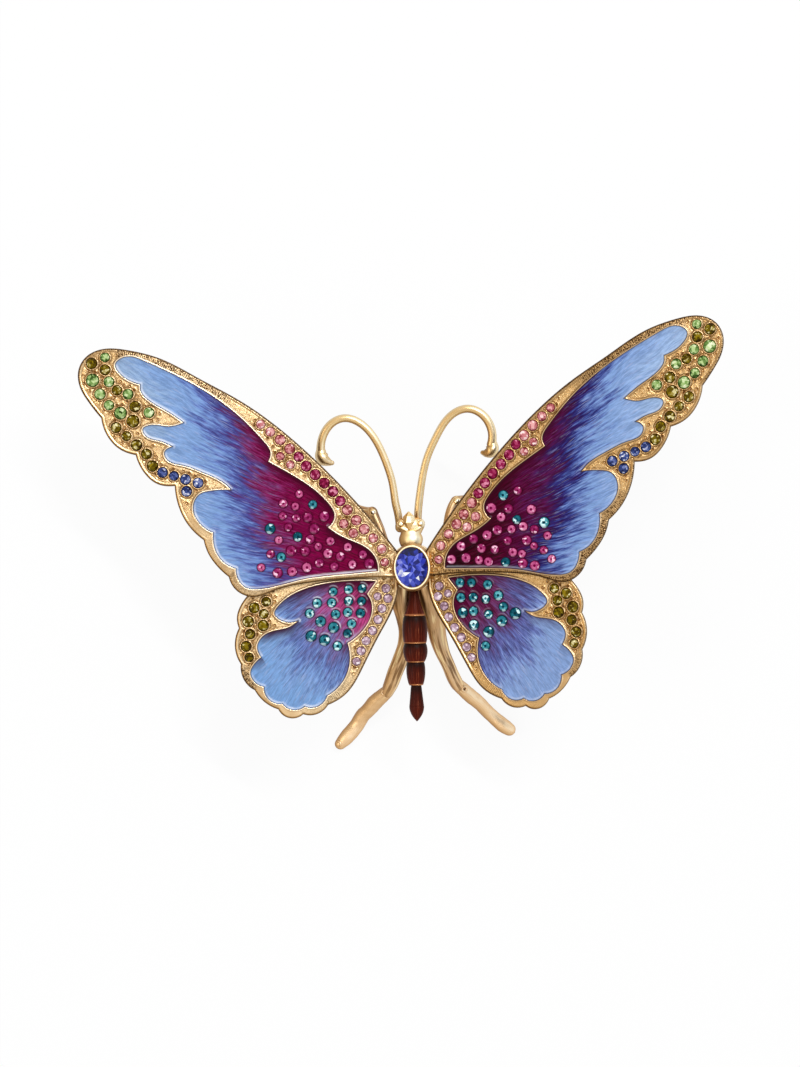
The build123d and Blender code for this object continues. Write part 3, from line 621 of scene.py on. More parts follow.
class WingPlan:
    # one wing's drawing, cut into triangles, with the distances that its relief and its colours need
    def __init__(self, wing, side):
        self.wing, self.side, self.data = wing, side, wings[wing]
        self.edge, self.cell = (Loop(self.data[key], casting["step"]) for key in ("edge", "cell"))
        self.metalStones, self.enamelStones = stoneList(wing, side, False), stoneList(wing, side, True)
        self.pits = self.scatterPits()
        taken, near, extra = {}, casting["ringSpacing"], []
        sparse(np.concatenate([self.edge.points, self.cell.points]), near, taken)
        for loop, sign, rings in ((self.edge, 1, "edgeRings"), (self.cell, -1, "cellRings"),
                                  (self.cell, 1, "glassRings")):
            for offset in casting[rings]:
                extra += sparse(loop.beside(sign * offset), near, taken)
        extra += sparse(stoneRings(self.metalStones, casting["settingRings"], 0.9), 0.4, taken)
        extra += sparse(stoneRings(self.enamelStones, casting["meniscusRings"], 0.9), 0.45, taken)
        extra += sparse(stoneRings(self.pits, casting["pitRings"], 0.7), 0.4, taken)
        rows = gridOver(self.edge, casting["gridSpacing"])
        toEdge, toCell = self.edge.nearest(rows)[0], self.cell.nearest(rows)[0]
        clear = casting["fromLoops"]
        extra += sparse(rows[(toEdge > clear) & (toCell > clear)], 0.75, taken)
        self.flat, self.faces, self.region, self.rings = triangles([self.edge, self.cell], extra)
        self.toEdge, self.edgeSpot = self.edge.nearest(self.flat)
        self.toCell, self.cellSpot = self.cell.nearest(self.flat)

    def scatterPits(self):
        # small drilled pits in the ground between the stones, as stones of no width
        low, high = self.edge.points.min(0), self.edge.points.max(0)
        tries = low + rng.random((casting["pitTries"], 2)) * (high - low)
        toEdge, toCell = self.edge.nearest(tries)[0], self.cell.nearest(tries)[0]
        gaps = gapToStones(tries, self.metalStones)
        clear, (nearest, farthest) = casting["pitClear"], casting["pitClear"]["stones"]
        good = (toEdge > clear["edge"]) & (toCell > clear["cell"]) & (gaps > nearest) & (gaps < farthest)
        good &= insideLoop(tries, self.edge.points) & ~insideLoop(tries, self.cell.points)
        spots = sparse(tries[good], casting["pitSpacing"], {})[:casting["pitCount"]]
        return [(x, y, 0) for x, y in spots]

    def patch(self, region):
        # the points of one region, where each point of the plan comes among them, and the region's faces
        chosen = self.faces[self.region == region]
        used = np.unique(chosen)
        place = np.full(len(self.flat), -1)
        place[used] = np.arange(len(used))
        return used, place, [tuple(face) for face in place[chosen]]

    def shell(self, kind, levelled, faces, attributes):
        # one closed mesh from points at their heights; the left wing's faces are turned to look outwards
        points = np.concatenate([onWing(flat, height, self.wing, self.side) for flat, height in levelled])
        spots = np.zeros((len(points), 3))
        spots[:, :2] = np.concatenate([flat for flat, height in levelled])
        spots[:len(levelled[0][0]), 2] = attributes.pop("toCell")
        padded = {"spot": spots}
        for key, (values, rest) in attributes.items():
            padded[key] = np.concatenate([values, np.full(len(points) - len(values), float(rest))])
        if self.side == "left":
            faces = [face[::-1] for face in faces]
        return meshPiece(f"{self.wing}{kind}_{self.side}", points, faces, padded)


def castingHeights(plan, used, toEdge, toCell, gaps):
    # where there is room, a rail and a bead with ground between; a narrow rim is one sloping band
    edgeAt, cellAt = (0, *casting["edgeRings"]), (0, *casting["cellRings"])
    rail = np.interp(toEdge, edgeAt, casting["rail"])
    bead = np.interp(toCell, cellAt[:len(casting["bead"])], casting["bead"])
    inGround = (toEdge > casting["railWidth"]) & (toCell > casting["beadWidth"])
    pits = gapToStones(plan.flat[used], plan.pits)
    relief = humps(gaps, casting["collar"]) + humps(pits, casting["crater"])
    roomy = rail + bead - casting["ground"] + np.where(inGround, relief, 0)
    share = toEdge / np.maximum(toEdge + toCell, 0.1)
    band = np.interp(toEdge, edgeAt[:len(casting["narrowBand"])], casting["narrowBand"])
    band = band + casting["narrowSlope"] * share + humps(toCell, casting["narrowBead"])
    narrow = np.clip((casting["narrowRim"] - toEdge - toCell) / casting["narrowFade"], 0, 1)
    # a darker ring drawn round each pit
    ring = np.where(inGround, hump(pits, *casting["pitShine"]), 0) * (1 - narrow)
    return (roomy * (1 - narrow) + band * narrow) / casting["millimetre"], ring, narrow, inGround


def underside(plan):
    # coarse triangles of the outline alone and of the cell alone, for the faces that are seldom seen
    made = []
    for loop, taken in ((plan.edge, {}), (plan.cell, {})):
        if loop is plan.edge:
            sparse(loop.points, back["edgeSpacing"], taken)
        rows = gridOver(loop, back["gridSpacing"])
        inner = rows[loop.nearest(rows)[0] > back["spacing"]]
        flat, faces, _, rings = triangles([loop], sparse(inner, back["spacing"], taken))
        made.append((flat, faces, np.array(rings[0])))
    return made


def wingCasting(plan, outline, pocket):
    # beaded and railed top, side wall, underside, and the pocket under the enamel
    data, side = plan.data, plan.side
    used, place, faces = plan.patch(1)
    flat, toEdge, toCell = plan.flat[used], plan.toEdge[used], plan.toCell[used]
    gaps = gapToStones(flat, plan.metalStones)
    heights, pit, narrow, ground = castingHeights(plan, used, toEdge, toCell, gaps)
    # painted shade: darkness laid in the grooves beside the rail and the bead, round the stones' seats, along
    # the outer edge and in the crease at the cell wall, stronger on the right wings
    groove = np.maximum.reduce([
        0.6 * hump(toEdge, casting["railWidth"], 0.6), 0.7 * hump(toCell, casting["beadWidth"], 0.5),
        hump(gaps, 1.9, 0.6) * ground, (gaps < 0.3) * 1.0]) * (1 - narrow)
    groove = np.maximum.reduce([groove, 0.9 * hump(toEdge, 0, 0.8),
                                data["crease"][side] * hump(toCell, 0, 0.7)])
    spot = plan.edgeSpot[used]
    # hatching on each run of the rim, with painted shade: its strengths differ by side, so the rims of one side
    # are painted darker than the other's
    roughness = np.array(data["hatch"][side])[plan.edge.runOf][spot // finer]
    hatch = roughness * np.maximum(narrow * np.clip((toCell - 0.9) / 0.8, 0, 1), hump(toEdge, 0, 2.4, 4))

    (backFlat, backFaces, backRing), (cellFlat, cellFaces, floorRing) = outline, pocket
    skirtStart = len(flat)
    underStart = skirtStart + len(plan.edge.points)
    floorStart = underStart + len(backFlat)
    skirtRing = np.arange(skirtStart, underStart)
    faces += strip(place[plan.rings[0]], skirtRing, True) + strip(skirtRing, backRing + underStart, True)
    faces += [tuple(face[::-1] + underStart) for face in backFaces]
    faces += strip(place[plan.rings[1]], floorRing + floorStart, False)
    faces += [tuple(face + floorStart) for face in cellFaces]
    # the lip strength is a painted highlight: a pale line on the bead at the cell's edge, stronger on the left
    # wings
    return plan.shell("Casting", [(flat, heights), (plan.edge.points, levels["skirt"]), (backFlat, 0.0),
                                  (cellFlat, levels["floor"])], faces,
                      {"toCell": toCell, "groove": (groove, 0.6), "pit": (pit, 0),
                       "lip": (hump(toCell, 0.9, 0.5) * data["lip"][side], 0), "hatch": (hatch, 0),
                       "along": (plan.edge.along[spot], 0), "pave": (ground * (1 - narrow), 0)})


# glass in the cells: how it climbs at the wall and at a stone, and the painted arcs of highlight beside the
# stones; shadeEnds is where the forewing's painted shade fades out, by squares outwards
glaze = {"wallClimb": [(0.25, 0, 3.0)], "stoneClimb": 0.07, "stoneReach": 0.8, "waves": 0.012, "calm": 6,
         "arcTurn": math.radians(65), "arcSpread": 0.35, "arc": (1.7, 0.55), "arcFrom": 0.62, "arcSharp": 5,
         "arcStrength": (0.4, 1.1), "shadeEnds": 165, "shadeFade": 60}


def stoneArcs(plan, flat, gleam):
    # painted highlight: pale arcs painted on one side of each stone, where the risen enamel would catch the
    # light
    turns = rng.normal(glaze["arcTurn"], glaze["arcSpread"], len(plan.enamelStones))
    if plan.side == "left":
        turns = math.pi - turns
    for (out, up, wide), turn in zip(plan.enamelStones, turns):
        x, y = flat[:, 0] - out, flat[:, 1] - up
        far = np.hypot(x, y)
        toward = (x * math.cos(turn) + y * math.sin(turn)) / np.maximum(far, 0.1)
        arc = hump(far - wide / 2, *glaze["arc"])
        arc = arc * np.clip((toward - glaze["arcFrom"]) * glaze["arcSharp"], 0, 1)
        gleam = np.maximum(gleam, arc * plan.data["arcs"][plan.side] * rng.uniform(*glaze["arcStrength"]))
    return gleam


def wingEnamel(plan, pocket):
    # glass laid in the cell: it climbs a little at the wall and round each stone set in it
    data, side = plan.data, plan.side
    used, place, faces = plan.patch(2)
    flat, toCell = plan.flat[used], plan.toCell[used]
    gaps = gapToStones(flat, plan.enamelStones)
    out, up = flat.T
    waves = glaze["waves"] * np.sin(out / 9 + 1.3 * np.sin(up / 13)) * np.sin(up / 8)
    height = casting["ground"] + humps(toCell, glaze["wallClimb"])
    height = height + waves * np.clip(toCell / glaze["calm"], 0, 1)
    height += glaze["stoneClimb"] * np.exp(-np.maximum(gaps, 0) / glaze["stoneReach"])
    # painted shade beside the walls that face the dark side, and a painted highlight along the walls that face
    # away from it
    facing = plan.cell.inward[plan.cellSpot[used] // finer] @ np.array(data["darkSide"])
    shade = np.clip(facing * 1.3, 0, 1) * hump(toCell, 0, 7) * data["shade"][side]
    if plan.wing == "forewing":
        shade *= np.clip((glaze["shadeEnds"] - out + 0.25 * up) / glaze["shadeFade"], 0, 1)
    gleam = np.clip(-facing * 1.4 - 0.2, 0, 1) * hump(toCell, 1.5, 0.8) * data["gleam"][side]
    gleam = stoneArcs(plan, flat, gleam)
    cellFlat, cellFaces, floorRing = pocket
    faces += strip(place[plan.rings[1]], floorRing + len(flat), True)
    faces += [tuple(face[::-1] + len(flat)) for face in cellFaces]
    return plan.shell("Enamel", [(flat, height / casting["millimetre"]), (cellFlat, levels["floor"])], faces,
                      {"toCell": toCell, "shade": (shade, 0), "gleam": (gleam, 0), "stoneGap": (gaps, 9)})


# painted light and shade: each metal's tones run from the faces turned away from the window light to those that
# meet it, painted into its colour
gilts = {
    "giltWing": {"tones": [(70, 44, 16), (128, 90, 44), (178, 138, 84), (204, 166, 116), (236, 208, 164)],
                 "rough": (0.28, 0.4), "brushed": 0.0},
    "giltBody": {"tones": [(150, 106, 54), (214, 172, 110), (246, 218, 162), (255, 240, 200),
                           (255, 250, 226)],
                 "rough": (0.46, 0.56), "brushed": 0.12},
    "giltEyes": {"tones": [(160, 112, 62), (214, 172, 112), (246, 218, 162), (255, 244, 210),
                           (255, 252, 236)],
                 "rough": (0.18, 0.24), "brushed": 0.0},
    "giltLegs": {"tones": [(168, 122, 74), (206, 166, 116), (228, 192, 146), (240, 208, 166),
                           (248, 226, 192)],
                 "rough": (0.42, 0.52), "brushed": 0.3},
    "giltRings": {"tones": [(80, 36, 18), (126, 70, 38), (168, 106, 62), (196, 134, 86), (214, 156, 106)],
                  "rough": (0.34, 0.44), "brushed": 0.0},
    "giltWire": {"tones": [(128, 90, 44), (180, 138, 82), (214, 178, 120), (240, 214, 160), (254, 240, 206)],
                 "rough": (0.3, 0.42), "brushed": 0.2}}
# the window is where the painted light comes from; the tones after it are laid over the metals, several as
# painted light: shadow in the grooves, shade with the hatching, a highlight on the bead's lip, glints in the
# pale flecks, shade and highlight along the thighs' folds, and shade along the antenna wire's top with a
# highlight on its outer edge
gilt = {"window": (0.45, 0.10, 0.89), "facing": (0.0, 0.45, 0.72, 0.89, 0.98), "bumpDepth": 0.00006,
        "streak": (190, 140, 80), "speck": (136, 96, 42), "fleck": (244, 216, 160), "shadow": (84, 52, 18),
        "pit": (130, 84, 36), "hatch": (60, 38, 18), "lip": (255, 246, 226),
        "thigh": (168, 114, 52), "foldDark": (104, 66, 26), "foldPale": (255, 232, 176),
        "wireTop": (160, 112, 58), "wireEdge": (252, 234, 192)}


def giltFinish(name):
    look = gilts[name]
    finish = Finish(name)
    coords = finish.node("ShaderNodeTexCoord", out="Object")
    blotch, grain = finish.noise(coords, 260, 3), finish.noise(coords, 4200, 2)
    # painted light and shade: the metal's tone follows how far each face turns to the window light
    facing = finish.facing(gilt["window"]) + (blotch - 0.5) * 0.14
    color = finish.ramp(facing, gilt["facing"], look["tones"])
    height = grain * 0.35 + blotch * 0.2
    layers = []
    if look["brushed"]:
        x, y, along = finish.split(finish.attribute("grain", "Vector"))
        streak = finish.noise(finish.joined(x * 7, y * 7, along * 0.3), 1.0, 3, 0.6)
        layers += [(finish.band(streak, 0.42, 0.7, 0.0, look["brushed"]), "streak")]
        height = height + streak * look["brushed"]
    if name == "giltWing":
        groove, pit, lip, pave, hatch, rim = (
            finish.attribute(key) for key in ("groove", "pit", "lip", "pave", "hatch", "along"))
        toCell = finish.split(finish.attribute("spot", "Vector"))[2]
        ridges = finish.sine(rim * 3.1 + blotch * 11 + grain * 3)
        cross = finish.sine(toCell * 4.4 + grain * 3.0)
        speck = finish.band(finish.noise(coords, 2300, 3, 0.7), 0.44, 0.6)
        # pale flecks on the pavé: its grain, with painted glints
        fleck = finish.band(finish.noise(coords, 3100, 2, 0.7), 0.56, 0.68)
        rough = finish.band(ridges * 0.6 + cross * 0.4 + speck * 1.6 - 0.8, -0.9, 1.1, 0.4, 1.5)
        # these layers paint shade into the grooves and partly into the hatching, a highlight on the bead's lip
        # and glints in the pale flecks, over the ground's specks and pits
        layers += [(pave * speck * 0.7, "speck"), (pave * fleck * 0.9, "fleck"), (groove * 0.88, "shadow"),
                   (pit * 0.8, "pit"), (hatch * rough, "hatch"),
                   (lip * finish.band(blotch, 0.3, 0.6, 0.55, 1.0), "lip")]
        height = height + (ridges + cross * 0.6) * hatch * 0.4 + speck * pave * 0.5
    if name == "giltLegs":
        high = finish.split(coords)[2]
        fold = finish.noise(finish.joined(x * 2.6, y * 2.6, along * 0.12), 1.0, 2)
        thigh = finish.band(high, 0.008, 0.013)
        # painted shade and painted highlight along the folds of the thighs
        layers += [(finish.band(high, 0.008, 0.018, 0.0, 0.4), "thigh"),
                   (thigh * finish.band(fold, 0.34, 0.48, 0.75, 0.0), "foldDark"),
                   (thigh * finish.band(fold, 0.54, 0.64, 0.0, 0.7), "foldPale")]
        height = height + fold * thigh * 1.5
    if name == "giltWire":
        # painted shade of a crease along the wire's top, and a painted highlight on its outer edge
        layers += [(finish.band(y, 0.9, 0.99, 0.0, 0.4), "wireTop"),
                   (finish.band(x, 0.35, 0.75, 0.0, 0.5), "wireEdge")]
    for factor, tone in layers:
        color = finish.tint(color, factor, gilt[tone])
    return finish.lay({"Base Color": color, "Metallic": 1.0,
                       "Roughness": finish.band(blotch, 0.2, 0.8, *look["rough"]),
                       "Normal": finish.bump(height, gilt["bumpDepth"], 0.6)})


# enamel: the point that the strokes fan out from, and rows of a zone's place, in squares, and its colour;
# each wing was painted by hand
enamels = {
    "forewing": {"fan": (-120, -40), "jitter": 36, "stroke": (135, 0.045)},
    "hindwing": {"fan": (20, 20), "jitter": 32, "stroke": (58, 0.05)}}
paints = {
    "forewing_left": [
        (55, 112, 2, 50), (108, 116, 4, 62), (122, 120, 32, 86), (132, 106, 54, 104), (142, 78, 60, 128),
        (152, 72, 80, 146), (161, 88, 104, 168), (170, 106, 132, 192), (182, 122, 154, 204),
        (205, 126, 158, 206), (230, 142, 168, 202)],
    "forewing_right": [
        (50, 38, 0, 8), (85, 66, 0, 26), (108, 80, 6, 52), (122, 76, 20, 70), (134, 52, 22, 76),
        (143, 42, 32, 96), (151, 48, 52, 118), (158, 66, 82, 146), (167, 98, 120, 178),
        (178, 120, 150, 200), (200, 132, 160, 206), (235, 150, 176, 212)],
    "hindwing_left": [
        (50, 130, 40, 84), (66, 150, 50, 98), (78, 176, 64, 122), (92, 154, 76, 128), (106, 122, 92, 144),
        (120, 104, 106, 158), (135, 94, 112, 170), (148, 108, 136, 190), (160, 120, 152, 202),
        (180, 118, 156, 206)],
    "hindwing_right": [
        (50, 74, 4, 40), (66, 80, 8, 46), (84, 98, 32, 72), (98, 98, 50, 94), (110, 90, 70, 120),
        (122, 84, 84, 140), (135, 88, 98, 156), (146, 106, 122, 178), (157, 124, 148, 196),
        (180, 126, 152, 198)]}
zoneScale = 240
# pale is a scratch of paint; shade, wall and stone are painted shade beside the walls, at the wall and round
# each stone, and gleam is a painted highlight
strokeAndLightTones = {"pale": (198, 200, 230), "shade": (58, 4, 26), "wall": (52, 30, 40), "stone": (44, 2, 24),
               "gleam": (236, 240, 252)}


def enamelFinish(wing, side):
    # short hair strokes that fan out from the root, in bands of colour with feathered edges, with painted shade
    # along the walls and round the stones and painted highlights beside them
    look = enamels[wing]
    finish = Finish(f"{wing}Enamel_{side}")
    out, up, toCell = finish.split(finish.attribute("spot", "Vector"))
    x, y = out - look["fan"][0], up - look["fan"][1]
    reach = (x * x + y * y) ** 0.5
    angle = finish.node("ShaderNodeMath", {"operation": "ARCTAN2"}, {0: y, 1: x})
    wander = angle + (finish.noise(finish.joined(out * 0.012, up * 0.012, 1.5), 1.0, 1) - 0.5) * 0.07
    thin, short = look["stroke"]

    def strokes(narrower, shorter, layer, detail, roughness=0.5):
        place = finish.joined(wander * thin * narrower, reach * short * shorter, layer)
        return finish.noise(place, 1.0, detail, roughness)

    hair, lock = strokes(1, 1, 0, 3, 0.65), strokes(0.27, 0.45, 3.7, 2)
    fine, scratch = strokes(2.1, 2.2, 9.1, 3, 0.7), strokes(2.8, 1.2, 21, 2, 0.6)
    if wing == "forewing":
        zone = out - up * 0.25 + finish.band(up, -15, 18, 11, 0)
    else:
        zone = reach + finish.band(angle, -0.84, -0.5, 0, 22)
    zone = zone + (hair - 0.5) * (look["jitter"] * 2.2) + (lock - 0.5) * (look["jitter"] * 1.8)
    paint = paints[f"{wing}_{side}"]
    color = finish.ramp(zone / zoneScale, [row[0] / zoneScale for row in paint], [row[1:] for row in paint])
    deep = finish.band(zone, 110, 175, 0.5, 0.2)
    light = 1 - deep + finish.band(hair * 0.4 + fine * 0.6, 0.36, 0.64, 0.0, 2.0) * deep
    color = finish.blend(1.0, color, finish.joined(light, light, light), "MULTIPLY")
    # pale scratches of paint, then painted shade and painted highlights
    for factor, tone in (
            (finish.band(scratch, 0.56, 0.7) * finish.band(zone, 105, 150, 0.03, 0.3), "pale"),
            (finish.attribute("shade"), "shade"), (finish.band(toCell, 0.2, 1.4, 0.5, 0.0), "wall"),
            (finish.band(finish.attribute("stoneGap"), 0.0, 1.6, 0.7, 0.0), "stone"),
            (finish.attribute("gleam") * finish.band(lock, 0.35, 0.6, 0.5, 0.95), "gleam")):
        color = finish.tint(color, factor, strokeAndLightTones[tone])
    return finish.lay({"Base Color": color, "Roughness": 0.15, "Specular IOR Level": 0.03})


# cut stones: the tones from the dark rim to the brightest facet, painted light and shade; those with "lit" are
# set in the enamel and show a painted ring of light and a painted lit patch
stoneLooks = {
    "green": {"slot": "green_stone",
              "tones": [(44, 64, 20), (92, 126, 58), (130, 164, 90), (190, 212, 146), (252, 255, 222)]},
    "olive": {"slot": "olive_stone",
              "tones": [(50, 32, 0), (80, 62, 0), (106, 88, 2), (144, 122, 18), (248, 238, 184)]},
    "blue": {"slot": "blue_stone",
             "tones": [(26, 30, 62), (44, 58, 112), (62, 80, 142), (112, 124, 176), (250, 250, 255)]},
    "edge_pink": {"slot": "pink_stone",
                  "tones": [(118, 38, 44), (172, 84, 90), (204, 126, 130), (236, 174, 172), (255, 236, 232)]},
    "ruby": {"slot": "ruby_stone",
             "tones": [(84, 0, 28), (118, 6, 50), (142, 22, 70), (172, 62, 100), (236, 156, 182)]},
    "rose": {"slot": "rose_stone", "lit": 0.12,
             "tones": [(104, 0, 50), (142, 26, 90), (184, 72, 126), (220, 124, 166), (255, 210, 232)]},
    "teal": {"slot": "teal_stone", "lit": 0.6,
             "tones": [(0, 46, 60), (12, 82, 98), (38, 122, 138), (96, 180, 190), (224, 255, 255)]},
    "lilac": {"slot": "lilac_stone",
              "tones": [(116, 84, 94), (158, 126, 142), (192, 160, 176), (226, 198, 212), (255, 248, 252)]}}
stoneLight = {"places": (0.04, 0.28, 0.5, 0.74, 1.0), "litFrom": (-0.1, -0.72, 0.69), "crownInEnamel": 1.07}


def stoneFinish(look):
    # what is seen through a crown, painted: a dark rim of painted shade, and cells of painted light and dark
    finish = Finish(look["slot"])
    facet, tone = finish.attribute("facet"), finish.attribute("tone")
    x, y, _ = finish.split(finish.attribute("cut", "Vector"))
    radial = (x * x + y * y) ** 0.5
    place = finish.joined(x + tone * 40, y + tone * 17, 0)
    cell, glint, _ = finish.split(
        finish.node("ShaderNodeTexVoronoi", None, {"Vector": place, "Scale": 2.0}, "Color"))
    value = cell * 0.75 + facet * 0.5 + tone * 0.25 - 0.25
    if "lit" in look:
        ring = finish.band(radial, 0.16, 0.34) * finish.band(radial, 0.76, 0.94, 1.0, 0.1)
        value = ring * (tone * 0.42 + cell * 0.3 + 0.12) + finish.band(glint, 0.86, 0.9, 0.0, 0.7)
    # painted shade: darker toward the rim
    value = value * finish.band(radial, 0.8, 1.0, 1.0, 0.15)
    color = finish.ramp(value, stoneLight["places"], look["tones"])
    if "lit" in look:
        # painted highlight on the facets turned toward litFrom
        low = finish.facing(stoneLight["litFrom"])
        color = finish.tint(color, finish.band(low, 0.9, 0.97, 0.0, look["lit"]), look["tones"][-1])
    return finish.lay({"Base Color": color, "Roughness": 0.07, "Specular IOR Level": 0.06})


# each facet's tone is painted light and dark, standing in for light that the cut stone sends back
brilliant = {"table": (8, 0.0, 0.56, 0.46), "stars": (8, 0.5, 0.80, 0.27), "girdle": (16, 0.0, 1.0, 0.04),
             "foot": (16, 0.0, 1.0, -0.35), "tableTone": 0.55,
             "starTones": (0.75, 0.3, 0.95, 0.5, 0.2, 0.7, 0.4, 0.85),
             "kiteTones": (0.4, 0.65, 0.25, 0.8, 0.5, 0.15, 0.9, 0.35), "girdleTones": [0.2, 0.1]}


def stoneTemplate():
    # a round brilliant's crown, one unit in radius: each ring's count, turn in steps, radius and height
    points = []
    for ring in ("table", "stars", "girdle", "foot"):
        count, turn, radius, height = brilliant[ring]
        points += [(radius * math.cos(a), radius * math.sin(a), height)
                   for a in (np.arange(count) + turn) * 2 * math.pi / count]
    faces, tones = [tuple(range(8))], [brilliant["tableTone"]]
    for i in range(8):
        rim = 16 + 2 * i
        faces += [(i, 8 + i, (i + 1) % 8), (i, 8 + (i - 1) % 8, rim, 8 + i), (8 + i, rim, rim + 1),
                  (8 + i, rim + 1, 16 + (2 * i + 2) % 16)]
        tones += [brilliant["starTones"][i], brilliant["kiteTones"][i], *brilliant["girdleTones"]]
    faces += [(16 + i, 32 + i, 32 + (i + 1) % 16, 16 + (i + 1) % 16) for i in range(16)]
    faces.append(tuple(range(47, 31, -1)))
    tones += [0.0] * 17
    mesh = bpy.data.meshes.new("cutStone")
    mesh.from_pydata(points, [], faces)
    mesh.attributes.new("facet", "FLOAT", "FACE").data.foreach_set("value", tones)
    mesh.attributes.new("cut", "FLOAT_VECTOR", "POINT").data.foreach_set("vector", np.array(points).ravel())
    return shown("cutStone", mesh)


def setterTree():
    # sets a copy of a template on each point: turned to "facing", spun at random, scaled by "size"
    tree = bpy.data.node_groups.new("stoneSetter", "GeometryNodeTree")
    for name, kind in (("Seats", "Geometry"), ("Template", "Object"), ("Finish", "Material"), ("Seed", "Int")):
        tree.interface.new_socket(name, in_out="INPUT", socket_type="NodeSocket" + kind)
    tree.interface.new_socket("Stones", in_out="OUTPUT", socket_type="NodeSocketGeometry")

    def add(kind, inputs=None, **settings):
        made = tree.nodes.new(kind)
        for key, value in settings.items():
            setattr(made, key, value)
        for key, value in (inputs or {}).items():
            made.inputs[key].default_value = value
        return made

    nodes = {
        "given": add("NodeGroupInput"), "result": add("NodeGroupOutput"),
        "source": add("GeometryNodeObjectInfo"), "place": add("GeometryNodeInstanceOnPoints"),
        "facing": add("GeometryNodeInputNamedAttribute", {"Name": "facing"}, data_type="FLOAT_VECTOR"),
        "size": add("GeometryNodeInputNamedAttribute", {"Name": "size"}, data_type="FLOAT"),
        "align": add("FunctionNodeAlignRotationToVector", axis="Z"),
        "spin": add("FunctionNodeRandomValue", {3: 2 * math.pi}, data_type="FLOAT"),
        "turn": add("FunctionNodeAxisAngleToRotation", {"Axis": (0, 0, 1)}),
        "rotate": add("FunctionNodeRotateRotation", rotation_space="LOCAL"),
        "tone": add("FunctionNodeRandomValue", data_type="FLOAT"),
        "store": add("GeometryNodeStoreNamedAttribute", {"Name": "tone"}, data_type="FLOAT", domain="INSTANCE"),
        "real": add("GeometryNodeRealizeInstances"), "paint": add("GeometryNodeSetMaterial")}
    for start, output, end, entry in (
            ("given", "Template", "source", "Object"), ("given", "Seats", "place", "Points"),
            ("source", "Geometry", "place", "Instance"), ("facing", 0, "align", "Vector"),
            ("given", "Seed", "spin", "Seed"), ("spin", 1, "turn", "Angle"), ("align", 0, "rotate", "Rotation"),
            ("turn", 0, "rotate", "Rotate By"), ("rotate", 0, "place", "Rotation"),
            ("size", 0, "place", "Scale"),
            ("given", "Seed", "tone", "Seed"), ("place", 0, "store", "Geometry"), ("tone", 1, "store", "Value"),
            ("store", 0, "real", 0), ("real", 0, "paint", "Geometry"), ("given", "Finish", "paint", "Material"),
            ("paint", 0, "result", 0)):
        tree.links.new(nodes[start].outputs[output], nodes[end].inputs[entry])
    return tree


template = stoneTemplate()
setter = setterTree()
stoneFinishes = {color: stoneFinish(look) for color, look in stoneLooks.items()}


def setStones(name, side):
    wing, color = name.split("_", 1)
    color = color.replace("_stones", "")
    spots = np.array(spotsOf(name, side), float)
    inEnamel = name in stonesInEnamel
    places = onWing(spots, levels["girdleInEnamel" if inEnamel else "girdle"], wing, side)
    slope = np.arcsin(((places[:, 0] - bodyX) * handOf[side] - archX) / wings[wing]["base"])
    facing = np.stack([np.sin(slope) * handOf[side], np.zeros(len(slope)), np.cos(slope)], 1)
    crown = stoneLight["crownInEnamel"] if inEnamel else 1.0
    seats = meshPiece("seats", places, [], {"facing": facing, "size": spots[:, 2] * crown * square / 2})
    modifier = seats.modifiers.new("setter", "NODES")
    modifier.node_group = setter
    values = {"Template": template, "Finish": stoneFinishes[color], "Seed": sum(map(ord, name + side)) % 997}
    for item in setter.interface.items_tree:
        if item.name in values:
            modifier[item.identifier] = values[item.name]
    seats.update_tag()
    piece = baked(wing + color.title().replace("_", "") + "Stones_" + side, seats)
    dress(piece, None, stoneLooks[color]["slot"], f"{name}_{side}")


wingGilt, plainGilt, paleGilt, legGilt, copperGilt, wireGilt = [giltFinish(name) for name in gilts]
for wing in wings:
    for side in handOf:
        plan = WingPlan(wing, side)
        outline, pocket = underside(plan)
        dress(wingCasting(plan, outline, pocket), wingGilt, "gilt_metal", f"{wing}_{side}")
        glass = wingEnamel(plan, pocket)
        dress(glass, enamelFinish(wing, side), "wing_enamel", f"{wing}_enamel_{side}")
        for name in stoneSpots:
            if name.startswith(wing):
                setStones(name, side)
    print(wing, "drawn:", len(plan.faces), "triangles on top")
bpy.data.objects.remove(template)

# body: places are millimetres from the middle of the centre stone, with heights from the table


def inFrame(points):
    return np.array((bodyX, bodyY, 0)) + np.asarray(points) / 1000


def wallBetween(first, second, count):
    # quads between two rings of points, from the index that each ring starts at
    turn = [(j + 1) % count for j in range(count)]
    return [(first + j, second + j, second + k, first + k) for j, k in enumerate(turn)]


